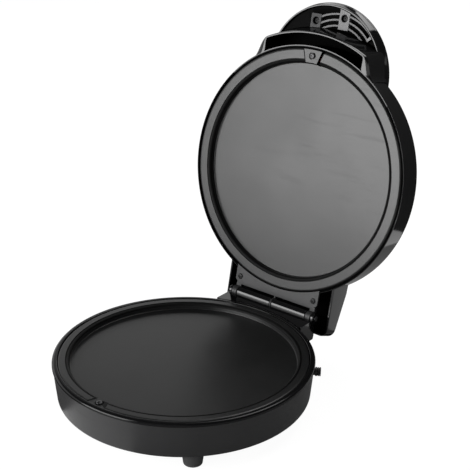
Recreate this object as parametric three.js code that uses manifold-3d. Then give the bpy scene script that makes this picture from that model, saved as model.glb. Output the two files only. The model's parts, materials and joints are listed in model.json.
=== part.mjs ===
// Electric pizza maker with its lid open: two round cooking plates, each in a moulded body, on one hinge.
// Millimetres, +Z up. The hinge is at the back (+Y) and the handle is at the front (-Y) of the closed lid.
// The lid is drawn closed, in the base's frame, inside a pivot group that turns it open.
import * as THREE from "three";
import { mergeVertices } from "three/addons/utils/BufferGeometryUtils.js";
import Module from "manifold-3d";

const wasm = await Module();
wasm.setup();

// Counts and clearances
const ringSteps = 52;
const smallSteps = 16;
const screwSteps = 10;
const gap = 0.3;
const overrun = 3;
const openAngle = THREE.MathUtils.degToRad(102.2);

// Cooking plates
const lowerPlateRadius = 167;
const upperPlateOverhang = 4.8;
const upperPlateRadius = lowerPlateRadius + upperPlateOverhang;
const plateBorder = 14.5;
const panRadius = lowerPlateRadius - plateBorder;
const panDepth = 10;
const panDraft = 2;
const plateWall = 2.6;
const plateEdgeDrop = 6;
const plateRounding = 1.4;
const tabDepth = 1;
const tabInnerHalf = 8;
const tabOuterHalf = 16.5;

// Base body
const baseBottom = 20;
const baseRimTop = 71.7;
const baseRimWidth = 7.5;
const baseRimRadius = lowerPlateRadius + baseRimWidth;
const baseLipDepth = 5.5;
const baseLipStep = 1;
const baseLipRounding = 2;
const baseTaper = 5.1;
const baseFootRadius = baseRimRadius - baseTaper;
const baseRounding = 4;
const baseWall = 2.5;
const baseFlange = 9;
const plateSink = 0.5;
const ledgeWidth = 4;
const bossHalf = 6;
const bossHeight = 12;

// Bottom cover and feet
const coverLip = 3;
const coverWall = 2.3;
const coverBossRadius = 7;
const coverBossHeight = 7;
const ventCount = 6;
const ventLength = 34;
const ventWidth = 3;
const ventPitch = 9;
const ventRadius = 84;
const footTopRadius = 14.5;
const footTipRadius = 12.3;
const footRounding = 2;
const footBore = 6.5;
const footShoulder = 8;
const footInset = 20.4;
const footReach = baseFootRadius - footInset;
const frontFootTurn = THREE.MathUtils.degToRad(45);
const rearFootTurn = THREE.MathUtils.degToRad(159);

// Screws
const screwShank = 2;
const screwHead = 4;
const screwHeadHeight = 1.6;
const screwSlot = 1;
const screwLength = 10;
const footScrewShank = 2.8;
const footScrewHead = 5.5;
const footScrewHeadHeight = 2.5;

// Heating elements and reflector pans
const elementRadius = 3.5;
const elementInset = 46.5;
const elementRing = panRadius - elementInset;
const elementOpening = THREE.MathUtils.degToRad(24);
const elementLegDrop = 16;
const elementSteps = 34;
const elementSides = 8;
const reflectorWall = 1;
const reflectorDepth = 9;
const reflectorLip = 8;
const reflectorFlare = 10;
const reflectorInset = 2.5;
const reflectorRim = panRadius - reflectorInset;
const reflectorShoulder = reflectorRim - reflectorLip;
const reflectorFloor = reflectorShoulder - reflectorFlare;

// Controls inside the base and the lid
const thermostatRadius = 9;
const thermostatHeight = 9;
const thermostatFlange = 12;
const thermostatBladeWidth = 6.3;
const thermostatBladeDepth = 0.8;
const thermostatBladeHeight = 7;
const fuseRadius = 2.2;
const fuseLength = 12;
const fuseLead = 9;
const fuseLeadRadius = 0.6;
const fuseReach = 40;
const terminalLength = 34;
const terminalWidth = 16;
const terminalHeight = 14;
const terminalBore = 2.4;
const terminalPitch = 11;
const terminalX = 74;
const terminalY = 60;

// Cord gland
const glandTurn = THREE.MathUtils.degToRad(122);
const glandDrop = 13.3;
const glandHeight = baseRimTop - glandDrop;
const glandRadius = 6;
const glandBore = 3.6;
const glandProud = 11;
const glandInside = 7;
const glandNeck = 5;

// Hinge
const hingeReach = 21;
const hingeY = baseRimRadius + hingeReach;
const hingeZ = baseRimTop;
const pinRadius = 2.5;
const pinHead = 4;
const pinHeadHeight = 1.6;
const barrelRadius = 7.5;
const lugRadius = 8;
const lugClearance = 0.9;
const barrelEnd = 61;
const lugWidth = 8.4;
const cheekWidth = 4.4;
const centreRibHalf = 1.3;
const hingeBlockDrop = 30;
const hingeBlockBack = 2;
const hingeBlockRounding = 7;
const deckDrop = 0.6;

// Lid
const lidRimZ = 74;
const lidPlateGap = 0.5;
const lidRimInner = upperPlateRadius + lidPlateGap;
const lidRimWidth = 3;
const lidRimRadius = lidRimInner + lidRimWidth;
const lidRimRounding = 0.9;
const lidShoulderZ = 107.5;
const lidTaper = 1;
const lidShoulderRadius = lidRimRadius - lidTaper;
const lidRounding = 12;
const lidShoulderTurn = 70;
const lidInnerTurn = 10;
const lidHaunchInset = 24.3;
const lidHaunchZ = 122.1;
const lidCrownInset = 46.3;
const lidCrownZ = 123.7;
const lidTop = 124.5;
const lidWall = 2.5;

// Front pocket of the lid
const pocketRise = 19.2;
const pocketDraft = 5.6;
const pocketDraftHeight = 31;
const pocketWall = 2.8;
const pocketFlat = THREE.MathUtils.degToRad(24.5);
const pocketFade = THREE.MathUtils.degToRad(35);
const pocketInnerFade = THREE.MathUtils.degToRad(28);
const pocketSteps = 36;

// Handle
const handleRadius = 101;
const handleReach = 61.2;
const handleCentreY = handleRadius - handleReach - lidRimRadius;
const handleFlare = 7.5;
const handleEdgeRadius = handleRadius - handleFlare;
const handleEdgeInset = 3;
const handleEdgeY = handleEdgeRadius + handleEdgeInset - handleReach - lidRimRadius;
const handleEdgeZ = 105;
const handleFlareZ = 118.3;
const handleFlareShare = 0.4;
const handleRounding = 4;
const handleTop = handleFlareZ + handleRounding;
const handleEdgeWall = 2.4;
const gripRibInsets = [19.5, 27.5, 35.5];
const gripRibX = 17;
const gripRibSetback = 10;
const gripRibY = handleEdgeY - gripRibSetback;
const gripRibWidth = 2.6;
const gripFloorZ = 109.5;
const gripFloorWall = 2;
const gripTabX = 23;
const gripTabWidth = 17;
const gripTabSink = 0.5;
const gripScrewInset = 20.5;
const gripScrewSkew = 4.6;
const gripTabInner = 14.3;
const gripTabSkew = 2.7;
const gripMiddleY = gripScrewInset - handleEdgeRadius + handleEdgeY;
const gripScrewLength = 8;
const gripPostRadius = 5;

// Rear of the lid
const tailHalf = 91;
const tailFlare = 4;
const tailOverhang = 22;
const tailEnd = hingeY + tailOverhang;
const tailRounding = 12;
const tailFrontZ = 82;
const tailEndZ = 97;
const tailSlopeLength = 57.5;
const tailSlopeY = tailEnd - tailSlopeLength;
const tailSlopeZ = 113;
const tailRoot = 40;
const tailStartY = tailSlopeY - tailRoot;
const tailWall = 3;
const tongueHalf = 73;
const tongueSetback = 10.5;
const tongueEnd = hingeY - tongueSetback;
const tongueCut = 7;
const tongueCorner = tongueEnd - tongueCut;
const tongueWall = 3;
const tongueScrewInset = 8;
const tongueScrewX = tongueHalf - tongueScrewInset;
const tongueScrewSetback = 12;
const tongueScrewY = tongueEnd - tongueScrewSetback;
const tonguePostRadius = 4.6;
const tonguePostTop = 107.5;

// Indicator lamps
const lampRadius = 4;
const lampProud = 1.2;
const lampX = 12;
const lampReach = 20.5;
const lampY = handleCentreY - lampReach;

const finishes = {
  glossBlack: { color: 0x101113, roughness: 0.16, metalness: 0 },
  satinBlack: { color: 0x26272a, roughness: 0.42, metalness: 0 },
  matteBlack: { color: 0x3a3b3d, roughness: 0.7, metalness: 0 },
  nonStick: { color: 0x55585a, roughness: 0.38, metalness: 0.3 },
  steel: { color: 0xb9bcc0, roughness: 0.3, metalness: 1 },
  heatSheath: { color: 0x5f625f, roughness: 0.5, metalness: 0.8 },
  aluminium: { color: 0xc8cacc, roughness: 0.45, metalness: 1 },
  rubber: { color: 0x2c2d2f, roughness: 0.85, metalness: 0 },
  ceramic: { color: 0xe6e0d2, roughness: 0.6, metalness: 0 },
  redLens: { color: 0xb31b16, roughness: 0.2, metalness: 0 },
  greenLens: { color: 0x1c8a3a, roughness: 0.2, metalness: 0 },
};

// A closed geometry as a solid, with its faces pointing out.
function solidOf(geometry) {
  const bare = geometry.clone();
  bare.deleteAttribute("normal");
  bare.deleteAttribute("uv");
  const welded = mergeVertices(bare);
  const points = welded.getAttribute("position");
  const corners = welded.getIndex().array;
  const faces = [];
  let volume = 0;
  const [a, b, c] = [new THREE.Vector3(), new THREE.Vector3(), new THREE.Vector3()];
  for (let i = 0; i < corners.length; i += 3) {
    const [p, q, r] = [corners[i], corners[i + 1], corners[i + 2]];
    if (p === q || q === r || r === p) continue;
    faces.push([p, q, r]);
    a.fromBufferAttribute(points, p);
    b.fromBufferAttribute(points, q);
    c.fromBufferAttribute(points, r);
    volume += a.dot(b.cross(c));
  }
  const outward = volume > 0 ? faces : faces.map(([p, q, r]) => [p, r, q]);
  const vertProperties = new Float32Array(points.array);
  const triVerts = Uint32Array.from(outward.flat());
  return new wasm.Manifold(new wasm.Mesh({ numProp: 3, vertProperties, triVerts }));
}

function geometryOf(solid) {
  const mesh = solid.getMesh();
  const geometry = new THREE.BufferGeometry();
  geometry.setAttribute("position", new THREE.BufferAttribute(mesh.vertProperties, 3));
  geometry.setIndex(new THREE.BufferAttribute(mesh.triVerts, 1));
  geometry.computeVertexNormals();
  return geometry;
}

const join = (first, ...others) => others.reduce((whole, piece) => whole.add(piece), first);
const cut = (first, ...others) => others.reduce((whole, piece) => whole.subtract(piece), first);

// A profile of [radius, height] points turned about an upright axis.
function turned(profile, { x = 0, y = 0, steps = ringSteps } = {}) {
  const points = profile.map(([radius, height]) => new THREE.Vector2(radius, height));
  if (profile[0][0] > 0) points.push(points[0].clone());
  const geometry = new THREE.LatheGeometry(points, steps);
  geometry.rotateX(Math.PI / 2);
  geometry.translate(x, y, 0);
  return solidOf(geometry);
}

function disc(radius, low, high, options) {
  return turned([[0, low], [radius, low], [radius, high], [0, high]], options);
}

function ring(inner, outer, low, high, options) {
  return turned([[inner, low], [outer, low], [outer, high], [inner, high]], options);
}

// Points of a rounded corner of a profile, from one angle to another.
function corner(radius, height, rounding, from, to, steps = 3) {
  const points = [];
  for (let i = 0; i <= steps; i++) {
    const angle = THREE.MathUtils.degToRad(from + ((to - from) * i) / steps);
    points.push([radius + rounding * Math.cos(angle), height + rounding * Math.sin(angle)]);
  }
  return points;
}

// An outline in plan, between two heights.
function slab(outline, low, high) {
  const geometry = new THREE.ExtrudeGeometry(outline, { depth: high - low, bevelEnabled: false });
  geometry.translate(0, 0, low);
  return solidOf(geometry);
}

function outlineOf(points) {
  return new THREE.Shape(points.map(([x, y]) => new THREE.Vector2(x, y)));
}

// An outline of [y, z] points, carried along X.
function sideways(points, from, to) {
  const geometry = new THREE.ExtrudeGeometry(outlineOf(points), { depth: to - from, bevelEnabled: false });
  geometry.applyMatrix4(new THREE.Matrix4().set(0, 0, 1, from, 1, 0, 0, 0, 0, 1, 0, 0, 0, 0, 0, 1));
  return solidOf(geometry);
}

function block(from, to) {
  const geometry = new THREE.BoxGeometry(to[0] - from[0], to[1] - from[1], to[2] - from[2]);
  geometry.translate((from[0] + to[0]) / 2, (from[1] + to[1]) / 2, (from[2] + to[2]) / 2);
  return solidOf(geometry);
}

// A round bar along X on the hinge line.
function hingeBar(radius, from, to) {
  const geometry = new THREE.CylinderGeometry(radius, radius, to - from, smallSteps);
  geometry.rotateZ(Math.PI / 2);
  geometry.translate((from + to) / 2, hingeY, hingeZ);
  return solidOf(geometry);
}

// A skin between outlines of equal counts, listed from low to high and anticlockwise from above.
function loft(rings) {
  const count = rings[0].length;
  const top = (rings.length - 1) * count;
  const index = [];
  for (let level = 0; level < rings.length - 1; level++) {
    for (let i = 0; i < count; i++) {
      const near = level * count + i;
      const far = level * count + ((i + 1) % count);
      index.push(near, far, far + count, near, far + count, near + count);
    }
  }
  const flat = rings[0].map((point) => new THREE.Vector2(point.x, point.y));
  for (const [a, b, c] of THREE.ShapeUtils.triangulateShape(flat, [])) {
    index.push(c, b, a, top + a, top + b, top + c);
  }
  const geometry = new THREE.BufferGeometry().setFromPoints(rings.flat());
  geometry.setIndex(index);
  return solidOf(geometry);
}

const polar = (radius, turn) => [radius * Math.sin(turn), -radius * Math.cos(turn)];

// Plates: one section serves both, measured from the cooking rim, and the upper one is turned over.
function plateProfile(radius) {
  const floor = -panDepth;
  const well = panRadius + plateWall;
  const foot = panRadius - panDraft;
  return [
    [0, floor - plateWall],
    [foot, floor - plateWall],
    [well, floor + panDraft],
    [well, -plateWall],
    [radius - plateWall, -plateWall],
    [radius - plateWall, -plateEdgeDrop],
    [radius, -plateEdgeDrop],
    ...corner(radius - plateRounding, -plateRounding, plateRounding, 0, 90, 2),
    ...corner(panRadius + plateRounding, -plateRounding, plateRounding, 90, 180, 2),
    [foot, floor],
    [0, floor],
  ];
}

function plateSolid(radius, screwReach) {
  const tabEnd = radius + overrun;
  const tab = outlineOf([
    [-tabInnerHalf, -panRadius],
    [-tabOuterHalf, -tabEnd],
    [tabOuterHalf, -tabEnd],
    [tabInnerHalf, -panRadius],
  ]);
  const hole = { y: -screwReach, steps: smallSteps };
  return cut(
    turned(plateProfile(radius)),
    slab(tab, -tabDepth, overrun),
    disc(screwShank + gap, -plateEdgeDrop, overrun, hole),
  );
}

function crossHeadScrew({ shank, head, headHeight, length, x, y, seat, steps = screwSteps }) {
  const profile = [
    [0, seat - length],
    [shank, seat - length],
    [shank, seat],
    [head, seat],
    [head, seat + headHeight / 2],
    [head - headHeight / 2, seat + headHeight],
    [0, seat + headHeight],
  ];
  const slotFloor = seat + headHeight - screwSlot;
  const armLength = head / 2;
  const arm = screwSlot / 2;
  const above = seat + headHeight + overrun;
  return cut(
    turned(profile, { x, y, steps }),
    block([x - armLength, y - arm, slotFloor], [x + armLength, y + arm, above]),
    block([x - arm, y - armLength, slotFloor], [x + arm, y + armLength, above]),
  );
}

// A solid drawn face up at height zero, put face down at the given height.
function turnedOver(solid, height) {
  const geometry = geometryOf(solid);
  geometry.rotateY(Math.PI);
  geometry.translate(0, 0, height);
  return solidOf(geometry);
}

function movedUp(solid, height) {
  const geometry = geometryOf(solid);
  geometry.translate(0, 0, height);
  return solidOf(geometry);
}

// Base shell: a tapered wall with a rounded foot, a proud lip, a ledge for the plate and a screw boss.
const lowerPlateTop = baseRimTop - plateSink;
const rimInner = lowerPlateRadius + gap;
const ledgeTop = lowerPlateTop - plateEdgeDrop - gap;
const ledgeBottom = ledgeTop - baseWall;
const ledgeInner = rimInner - ledgeWidth;
const sideTopRadius = baseRimRadius - baseLipStep;
const lowerScrewReach = (panRadius + lowerPlateRadius) / 2;
const lowerTabFace = lowerPlateTop - tabDepth;
const glandReach = sideTopRadius - baseWall;
const bossInner = panRadius + plateWall + 2 * gap;

function baseShellProfile() {
  const flangeInner = baseFootRadius - baseFlange;
  const roundingZ = baseBottom + baseRounding;
  return [
    [flangeInner, baseBottom],
    ...corner(baseFootRadius - baseRounding, roundingZ, baseRounding, -90, 0),
    [sideTopRadius, baseRimTop - baseLipDepth],
    [baseRimRadius, baseRimTop - baseLipDepth + baseLipStep],
    ...corner(baseRimRadius - baseLipRounding, baseRimTop - baseLipRounding, baseLipRounding, 0, 90, 2),
    [rimInner, baseRimTop],
    [rimInner, ledgeTop],
    [ledgeInner, ledgeTop],
    [ledgeInner, ledgeBottom],
    [sideTopRadius - baseWall, ledgeBottom],
    [baseFootRadius - baseWall, roundingZ],
    [baseFootRadius - baseWall, baseBottom + baseWall],
    [flangeInner, baseBottom + baseWall],
  ];
}

function radialBar(radius, from, to, height, turn) {
  const geometry = new THREE.CylinderGeometry(radius, radius, to - from, smallSteps);
  geometry.translate(0, (from + to) / 2, 0);
  geometry.rotateZ(turn - Math.PI);
  geometry.translate(0, 0, height);
  return solidOf(geometry);
}

function baseShell() {
  const wallInside = sideTopRadius - baseWall / 2;
  const bossTop = ledgeBottom + baseWall / 2;
  const boss = block([-bossHalf, -wallInside, bossTop - bossHeight], [bossHalf, -bossInner, bossTop]);
  const pilot = disc(screwShank + gap, baseBottom, baseRimTop, { y: -lowerScrewReach, steps: smallSteps });
  const holeEnd = glandReach + glandProud;
  const glandHole = radialBar(glandNeck + gap, glandReach - glandInside, holeEnd, glandHeight, glandTurn);
  const nutRoom = radialBar(glandRadius + gap, glandReach - glandInside, glandReach, glandHeight, glandTurn);
  return cut(join(turned(baseShellProfile()), boss), pilot, glandHole, nutRoom);
}

// Bottom cover: a flat disc that fills the shell's flange and laps over it from inside.
const coverRadius = baseFootRadius - baseFlange - gap;
const coverTop = baseBottom + baseWall + gap + coverWall;
const feet = [
  ["front_left_foot", -frontFootTurn],
  ["front_right_foot", frontFootTurn],
  ["rear_left_foot", -rearFootTurn],
  ["rear_right_foot", rearFootTurn],
];

function ventSlot(x, y) {
  const straight = ventLength / 2 - ventWidth / 2;
  const outline = new THREE.Shape();
  outline.absarc(x, y + straight, ventWidth / 2, 0, Math.PI, false);
  outline.absarc(x, y - straight, ventWidth / 2, Math.PI, 2 * Math.PI, false);
  const geometry = new THREE.ExtrudeGeometry(outline, {
    depth: coverTop - baseBottom + 2 * overrun,
    bevelEnabled: false,
    curveSegments: 2,
  });
  geometry.translate(0, 0, baseBottom - overrun);
  return solidOf(geometry);
}

function bottomCover() {
  const lipZ = baseBottom + baseWall + gap;
  const cover = turned([
    [0, baseBottom],
    [coverRadius, baseBottom],
    [coverRadius, lipZ],
    [coverRadius + coverLip, lipZ],
    [coverRadius + coverLip, coverTop],
    [0, coverTop],
  ]);
  const bosses = feet.map(([, turn]) => {
    const [x, y] = polar(footReach, turn);
    const options = { x, y, steps: smallSteps };
    return disc(coverBossRadius, coverTop - coverWall / 2, coverTop + coverBossHeight, options);
  });
  const holes = feet.map(([, turn]) => {
    const [x, y] = polar(footReach, turn);
    const options = { x, y, steps: smallSteps };
    return disc(footScrewShank + gap, baseBottom - overrun, coverTop + coverBossHeight + overrun, options);
  });
  const vents = [];
  for (let i = 0; i < ventCount; i++) {
    const x = (i - (ventCount - 1) / 2) * ventPitch;
    vents.push(ventSlot(x, ventRadius), ventSlot(x, -ventRadius));
  }
  return cut(join(cover, ...bosses), ...holes, ...vents);
}

function foot(turn) {
  const [x, y] = polar(footReach, turn);
  const top = baseBottom - gap;
  const profile = [
    [footBore, 0],
    [footTipRadius - footRounding, 0],
    [footTipRadius, footRounding],
    [footTopRadius, top],
    [footScrewShank + gap, top],
    [footScrewShank + gap, footShoulder],
    [footBore, footShoulder],
  ];
  return turned(profile, { x, y, steps: smallSteps });
}

function footScrew(turn) {
  const [x, y] = polar(footReach, turn);
  const screw = crossHeadScrew({
    shank: footScrewShank,
    head: footScrewHead,
    headHeight: footScrewHeadHeight,
    length: coverTop + coverBossHeight - footShoulder,
    x: -x,
    y,
    seat: -(footShoulder - gap),
  });
  return turnedOver(screw, 0);
}

// Heating element: an open ring of sheathed tube whose two ends turn down through the reflector.
function elementSolid() {
  const level = -elementRadius;
  const section = new THREE.Shape();
  for (let i = 0; i < elementSides; i++) {
    const [x, y] = polar(elementRadius, (2 * Math.PI * i) / elementSides);
    if (i === 0) section.moveTo(x, y);
    else section.lineTo(x, y);
  }
  const points = [];
  for (let i = 0; i <= elementSteps; i++) {
    const turn = elementOpening / 2 + ((2 * Math.PI - elementOpening) * i) / elementSteps;
    points.push(new THREE.Vector3(...polar(elementRing, turn), level));
  }
  const path = new THREE.CatmullRomCurve3(points);
  const options = { steps: elementSteps, extrudePath: path, bevelEnabled: false };
  const legs = [points[0], points[elementSteps]].flatMap(({ x, y }) => {
    const elbow = new THREE.SphereGeometry(elementRadius, elementSides, elementSides / 2);
    elbow.translate(x, y, level);
    const leg = disc(elementRadius, level - elementLegDrop, level, { x, y, steps: elementSides });
    return [leg, solidOf(elbow)];
  });
  return join(solidOf(new THREE.ExtrudeGeometry(section, options)), ...legs);
}

// Reflector pan: a shallow dish that hangs below the plate and holds the element's legs in two holes.
function reflectorSolid() {
  const floor = -reflectorDepth;
  const top = -gap;
  const under = reflectorWall;
  const holes = [1, -1].map((side) => {
    const [x, y] = polar(elementRing, (side * elementOpening) / 2);
    return disc(elementRadius + gap * 2, floor - overrun, floor + overrun, { x, y, steps: smallSteps });
  });
  const dish = turned([
    [0, floor - under],
    [reflectorFloor, floor - under],
    [reflectorShoulder + under, top - 2 * under],
    [reflectorRim, top - 2 * under],
    [reflectorRim, top - under],
    [reflectorShoulder, top - under],
    [reflectorFloor, floor],
    [0, floor],
  ]);
  return cut(dish, ...holes);
}

// Thermostat: a round can on a flange, with two tab terminals.
function thermostatSolid() {
  const top = -reflectorDepth - reflectorWall - gap;
  const canBottom = top - thermostatHeight;
  const can = turned(
    [
      [0, canBottom],
      [thermostatRadius, canBottom],
      [thermostatRadius, top - reflectorWall],
      [thermostatFlange, top - reflectorWall],
      [thermostatFlange, top],
      [0, top],
    ],
    { steps: smallSteps },
  );
  const blades = [1, -1].map((side) => {
    const middle = (side * thermostatRadius) / 2;
    return block(
      [middle - thermostatBladeDepth / 2, -thermostatBladeWidth / 2, canBottom - thermostatBladeHeight],
      [middle + thermostatBladeDepth / 2, thermostatBladeWidth / 2, canBottom + thermostatBladeDepth],
    );
  });
  return join(can, ...blades);
}

// Everything under a plate is measured from the underside of its floor.
const lowerUnderside = lowerPlateTop - panDepth - plateWall;
const upperUnderside = lidRimZ + panDepth + plateWall;

function thermalFuse() {
  const z = lowerUnderside - reflectorDepth - reflectorWall - gap - fuseRadius;
  const body = new THREE.CylinderGeometry(fuseRadius, fuseRadius, fuseLength, smallSteps);
  const span = fuseLength + 2 * fuseLead;
  const lead = new THREE.CylinderGeometry(fuseLeadRadius, fuseLeadRadius, span, elementSides);
  return [body, lead]
    .map((geometry) => {
      geometry.rotateZ(Math.PI / 2);
      geometry.translate(0, fuseReach, z);
      return solidOf(geometry);
    })
    .reduce((whole, piece) => whole.add(piece));
}

function terminalBlock() {
  const floor = coverTop + gap;
  const half = terminalWidth / 2;
  const body = block(
    [terminalX - terminalLength / 2, terminalY - half, floor],
    [terminalX + terminalLength / 2, terminalY + half, floor + terminalHeight],
  );
  const cuts = [-1, 0, 1].flatMap((place) => {
    const x = terminalX + place * terminalPitch;
    const span = terminalWidth + overrun;
    const bore = new THREE.CylinderGeometry(terminalBore, terminalBore, span, elementSides);
    bore.translate(x, terminalY, floor + terminalHeight / 2);
    const well = disc(terminalBore, floor + terminalHeight / 2, floor + terminalHeight + overrun, {
      x,
      y: terminalY,
      steps: elementSides,
    });
    return [solidOf(bore), well];
  });
  return cut(body, ...cuts);
}

// Cord gland: a bush through the shell's wall, with a collar inside and a sleeve outside.
function cordGland() {
  const outside = glandReach + baseWall + baseLipStep + gap;
  const sleeveEnd = glandReach + glandProud;
  const parts = join(
    radialBar(glandNeck, glandReach - glandInside + gap, sleeveEnd, glandHeight, glandTurn),
    radialBar(glandRadius, outside, sleeveEnd, glandHeight, glandTurn),
    radialBar(glandRadius, glandReach - glandInside + gap, glandReach - baseWall, glandHeight, glandTurn),
  );
  const boreStart = glandReach - glandInside - overrun;
  return cut(parts, radialBar(glandBore, boreStart, sleeveEnd + overrun, glandHeight, glandTurn));
}

// Hinge block: a moulding on the back of the base, with two barrels and two cheeks for the pin.
const lugStart = barrelEnd + 2 * gap;
const lugEnd = lugStart + lugWidth;
const cheekStart = lugEnd + 2 * gap;
const blockHalf = cheekStart + cheekWidth;
const deckZ = baseRimTop - deckDrop;

function hingeBlock() {
  const low = deckZ - hingeBlockDrop;
  const back = hingeY + hingeBlockBack;
  const section = [
    [baseFootRadius - baseFlange, low],
    [back - hingeBlockRounding * 2, low],
    [back, low + hingeBlockRounding * 2],
    [back, deckZ],
    [baseFootRadius - baseFlange, deckZ],
  ];
  const body = sideways(section, -blockHalf, blockHalf);
  const outline = new THREE.Shape();
  const start = baseFootRadius - 2 * baseFlange;
  outline.moveTo(-blockHalf, start);
  outline.lineTo(blockHalf, start);
  const arcX = blockHalf - hingeBlockRounding;
  const arcY = back - hingeBlockRounding;
  outline.lineTo(blockHalf, arcY);
  outline.absarc(arcX, arcY, hingeBlockRounding, 0, Math.PI / 2);
  outline.absarc(-arcX, arcY, hingeBlockRounding, Math.PI / 2, Math.PI);
  const plan = slab(outline, low - overrun, deckZ + overrun);
  const shellRoom = turned([
    [0, low - overrun],
    [baseRimRadius + gap, low - overrun],
    [baseRimRadius + gap, deckZ + overrun],
    [0, deckZ + overrun],
  ]);
  const bars = [1, -1].flatMap((side) => {
    const span = (from, to) => [Math.min(side * from, side * to), Math.max(side * from, side * to)];
    return [
      hingeBar(barrelRadius, ...span(centreRibHalf + gap, barrelEnd)),
      hingeBar(barrelRadius, ...span(cheekStart, blockHalf)),
    ];
  });
  const recess = lugRadius + lugClearance;
  const recesses = [
    hingeBar(recess, -centreRibHalf - gap, centreRibHalf + gap),
    hingeBar(recess, lugStart - gap, lugEnd + gap),
    hingeBar(recess, -lugEnd - gap, -lugStart + gap),
  ];
  const bore = hingeBar(pinRadius + gap, -blockHalf - overrun, blockHalf + overrun);
  return cut(join(body.intersect(plan), ...bars), shellRoom, ...recesses, bore);
}

function hingePin() {
  const reach = blockHalf + gap;
  return join(
    hingeBar(pinRadius, -reach, reach),
    hingeBar(pinHead, reach, reach + pinHeadHeight),
    hingeBar(pinHead, -reach - pinHeadHeight, -reach),
  );
}

// Lid shell, drawn closed. Outer forms first, then the hollows.
function lidOuterProfile() {
  return [
    [0, lidRimZ],
    [lidRimRadius - lidRimRounding, lidRimZ],
    [lidRimRadius, lidRimZ + lidRimRounding],
    ...corner(lidShoulderRadius - lidRounding, lidShoulderZ, lidRounding, 0, lidShoulderTurn, 4),
    [lidShoulderRadius - lidHaunchInset, lidHaunchZ],
    [lidShoulderRadius - lidCrownInset, lidCrownZ],
    [0, lidTop],
  ];
}

function lidInnerProfile() {
  const inner = lidRounding - lidWall;
  const middle = lidShoulderZ - lidWall / 2;
  return [
    [0, lidRimZ - overrun],
    [lidRimInner, lidRimZ - overrun],
    [lidRimInner, lidShoulderZ - lidWall],
    ...corner(lidShoulderRadius - lidRounding, middle, inner, lidInnerTurn, lidShoulderTurn, 3),
    [lidShoulderRadius - lidHaunchInset, lidHaunchZ - lidWall],
    [lidShoulderRadius - lidCrownInset, lidCrownZ - lidWall],
    [0, lidTop - lidWall],
  ];
}

const pocketRadiusAt = (z) => lidRimRadius + pocketRise + (pocketDraft * (z - lidRimZ)) / pocketDraftHeight;

// The pocket bulges from the lid's round side: a plateau that fades into the circle at both ends.
function pocketOutline(z, { thinner = 0, fade = pocketFade, flat = pocketFlat, inner } = {}) {
  const points = [];
  const plateau = pocketRadiusAt(z) - thinner - lidRimRadius;
  for (let i = 0; i <= pocketSteps; i++) {
    const turn = fade * ((2 * i) / pocketSteps - 1);
    const share = 1 - THREE.MathUtils.smoothstep(Math.abs(turn), flat, fade);
    const [x, y] = polar(lidRimRadius + plateau * share, turn);
    points.push(new THREE.Vector3(x, y, z));
  }
  for (let i = pocketSteps; i >= 0; i--) {
    const [x, y] = polar(inner, fade * ((2 * i) / pocketSteps - 1));
    points.push(new THREE.Vector3(x, y, z));
  }
  return points;
}

function pocketOuter() {
  const inner = lidRimInner + lidWall / 2;
  return loft([lidRimZ, handleTop - lidWall].map((z) => pocketOutline(z, { inner })));
}

function pocketHollow() {
  const options = { thinner: pocketWall, fade: pocketInnerFade, inner: lidRimRadius };
  return loft([lidRimZ - overrun, handleTop - lidWall].map((z) => pocketOutline(z, options)));
}

// One level of the handle, from its lower edge at share 0 to its widest line at share 1.
function handleRing(z, share, inset = 0) {
  const radius = THREE.MathUtils.lerp(handleEdgeRadius, handleRadius, share) - inset;
  const middle = THREE.MathUtils.lerp(handleEdgeY, handleCentreY, share);
  const points = [];
  for (let i = 0; i < ringSteps; i++) {
    const [x, y] = polar(radius, (2 * Math.PI * i) / ringSteps);
    points.push(new THREE.Vector3(x, y + middle, z));
  }
  return points;
}

function handleOuter() {
  const rounding = corner(0, handleFlareZ, handleRounding, 0, 90, 3);
  return loft([
    handleRing(handleEdgeZ, 0),
    handleRing((handleEdgeZ + handleFlareZ) / 2, handleFlareShare),
    ...rounding.map(([out, z]) => handleRing(z, 1, handleRounding - out)),
  ]);
}

function pocketCone(extra) {
  const low = lidRimZ;
  const high = handleTop + overrun;
  return turned([
    [0, low],
    [pocketRadiusAt(low) + extra, low],
    [pocketRadiusAt(high) + extra, high],
    [0, high],
  ]);
}

function handleHollow(inset) {
  const radius = handleEdgeRadius - handleEdgeWall - inset;
  return disc(radius, handleEdgeZ - overrun, handleTop - lidWall, { y: handleEdgeY });
}

function tailOutline(half, end, rounding) {
  const outline = new THREE.Shape();
  outline.moveTo(-half, tailStartY);
  outline.lineTo(half, tailStartY);
  outline.lineTo(half, end - rounding);
  outline.absarc(half - rounding, end - rounding, rounding, 0, Math.PI / 2);
  outline.absarc(rounding - half, end - rounding, rounding, Math.PI / 2, Math.PI);
  return outline.getPoints(4);
}

// The tail widens a little from its front edge to its back, and its back slopes down to the end.
function tailForm(inset, low) {
  const ringAt = (z, grow) => {
    const outline = tailOutline(tailHalf + grow - inset, tailEnd + grow - inset, tailRounding - inset);
    return outline.slice(0, -1).map((point) => new THREE.Vector3(point.x, point.y, z));
  };
  const high = lidTop;
  const body = loft([ringAt(low, 0), ringAt(tailEndZ, tailFlare / 2), ringAt(high, tailFlare)]);
  const end = tailEnd + tailFlare;
  const slope = sideways(
    [
      [tailStartY - overrun, low - overrun],
      [end + overrun, low - overrun],
      [end + overrun, tailEndZ - inset],
      [end - tailRounding, tailEndZ + tailWall - inset],
      [tailSlopeY, tailSlopeZ - inset],
      [tailStartY - overrun, tailSlopeZ + tailWall - inset],
    ],
    -tailHalf - tailFlare - overrun,
    tailHalf + tailFlare + overrun,
  );
  return body.intersect(slope);
}

const lidDisc = (radius) => disc(radius, lidRimZ - overrun, lidTop + overrun);

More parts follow.
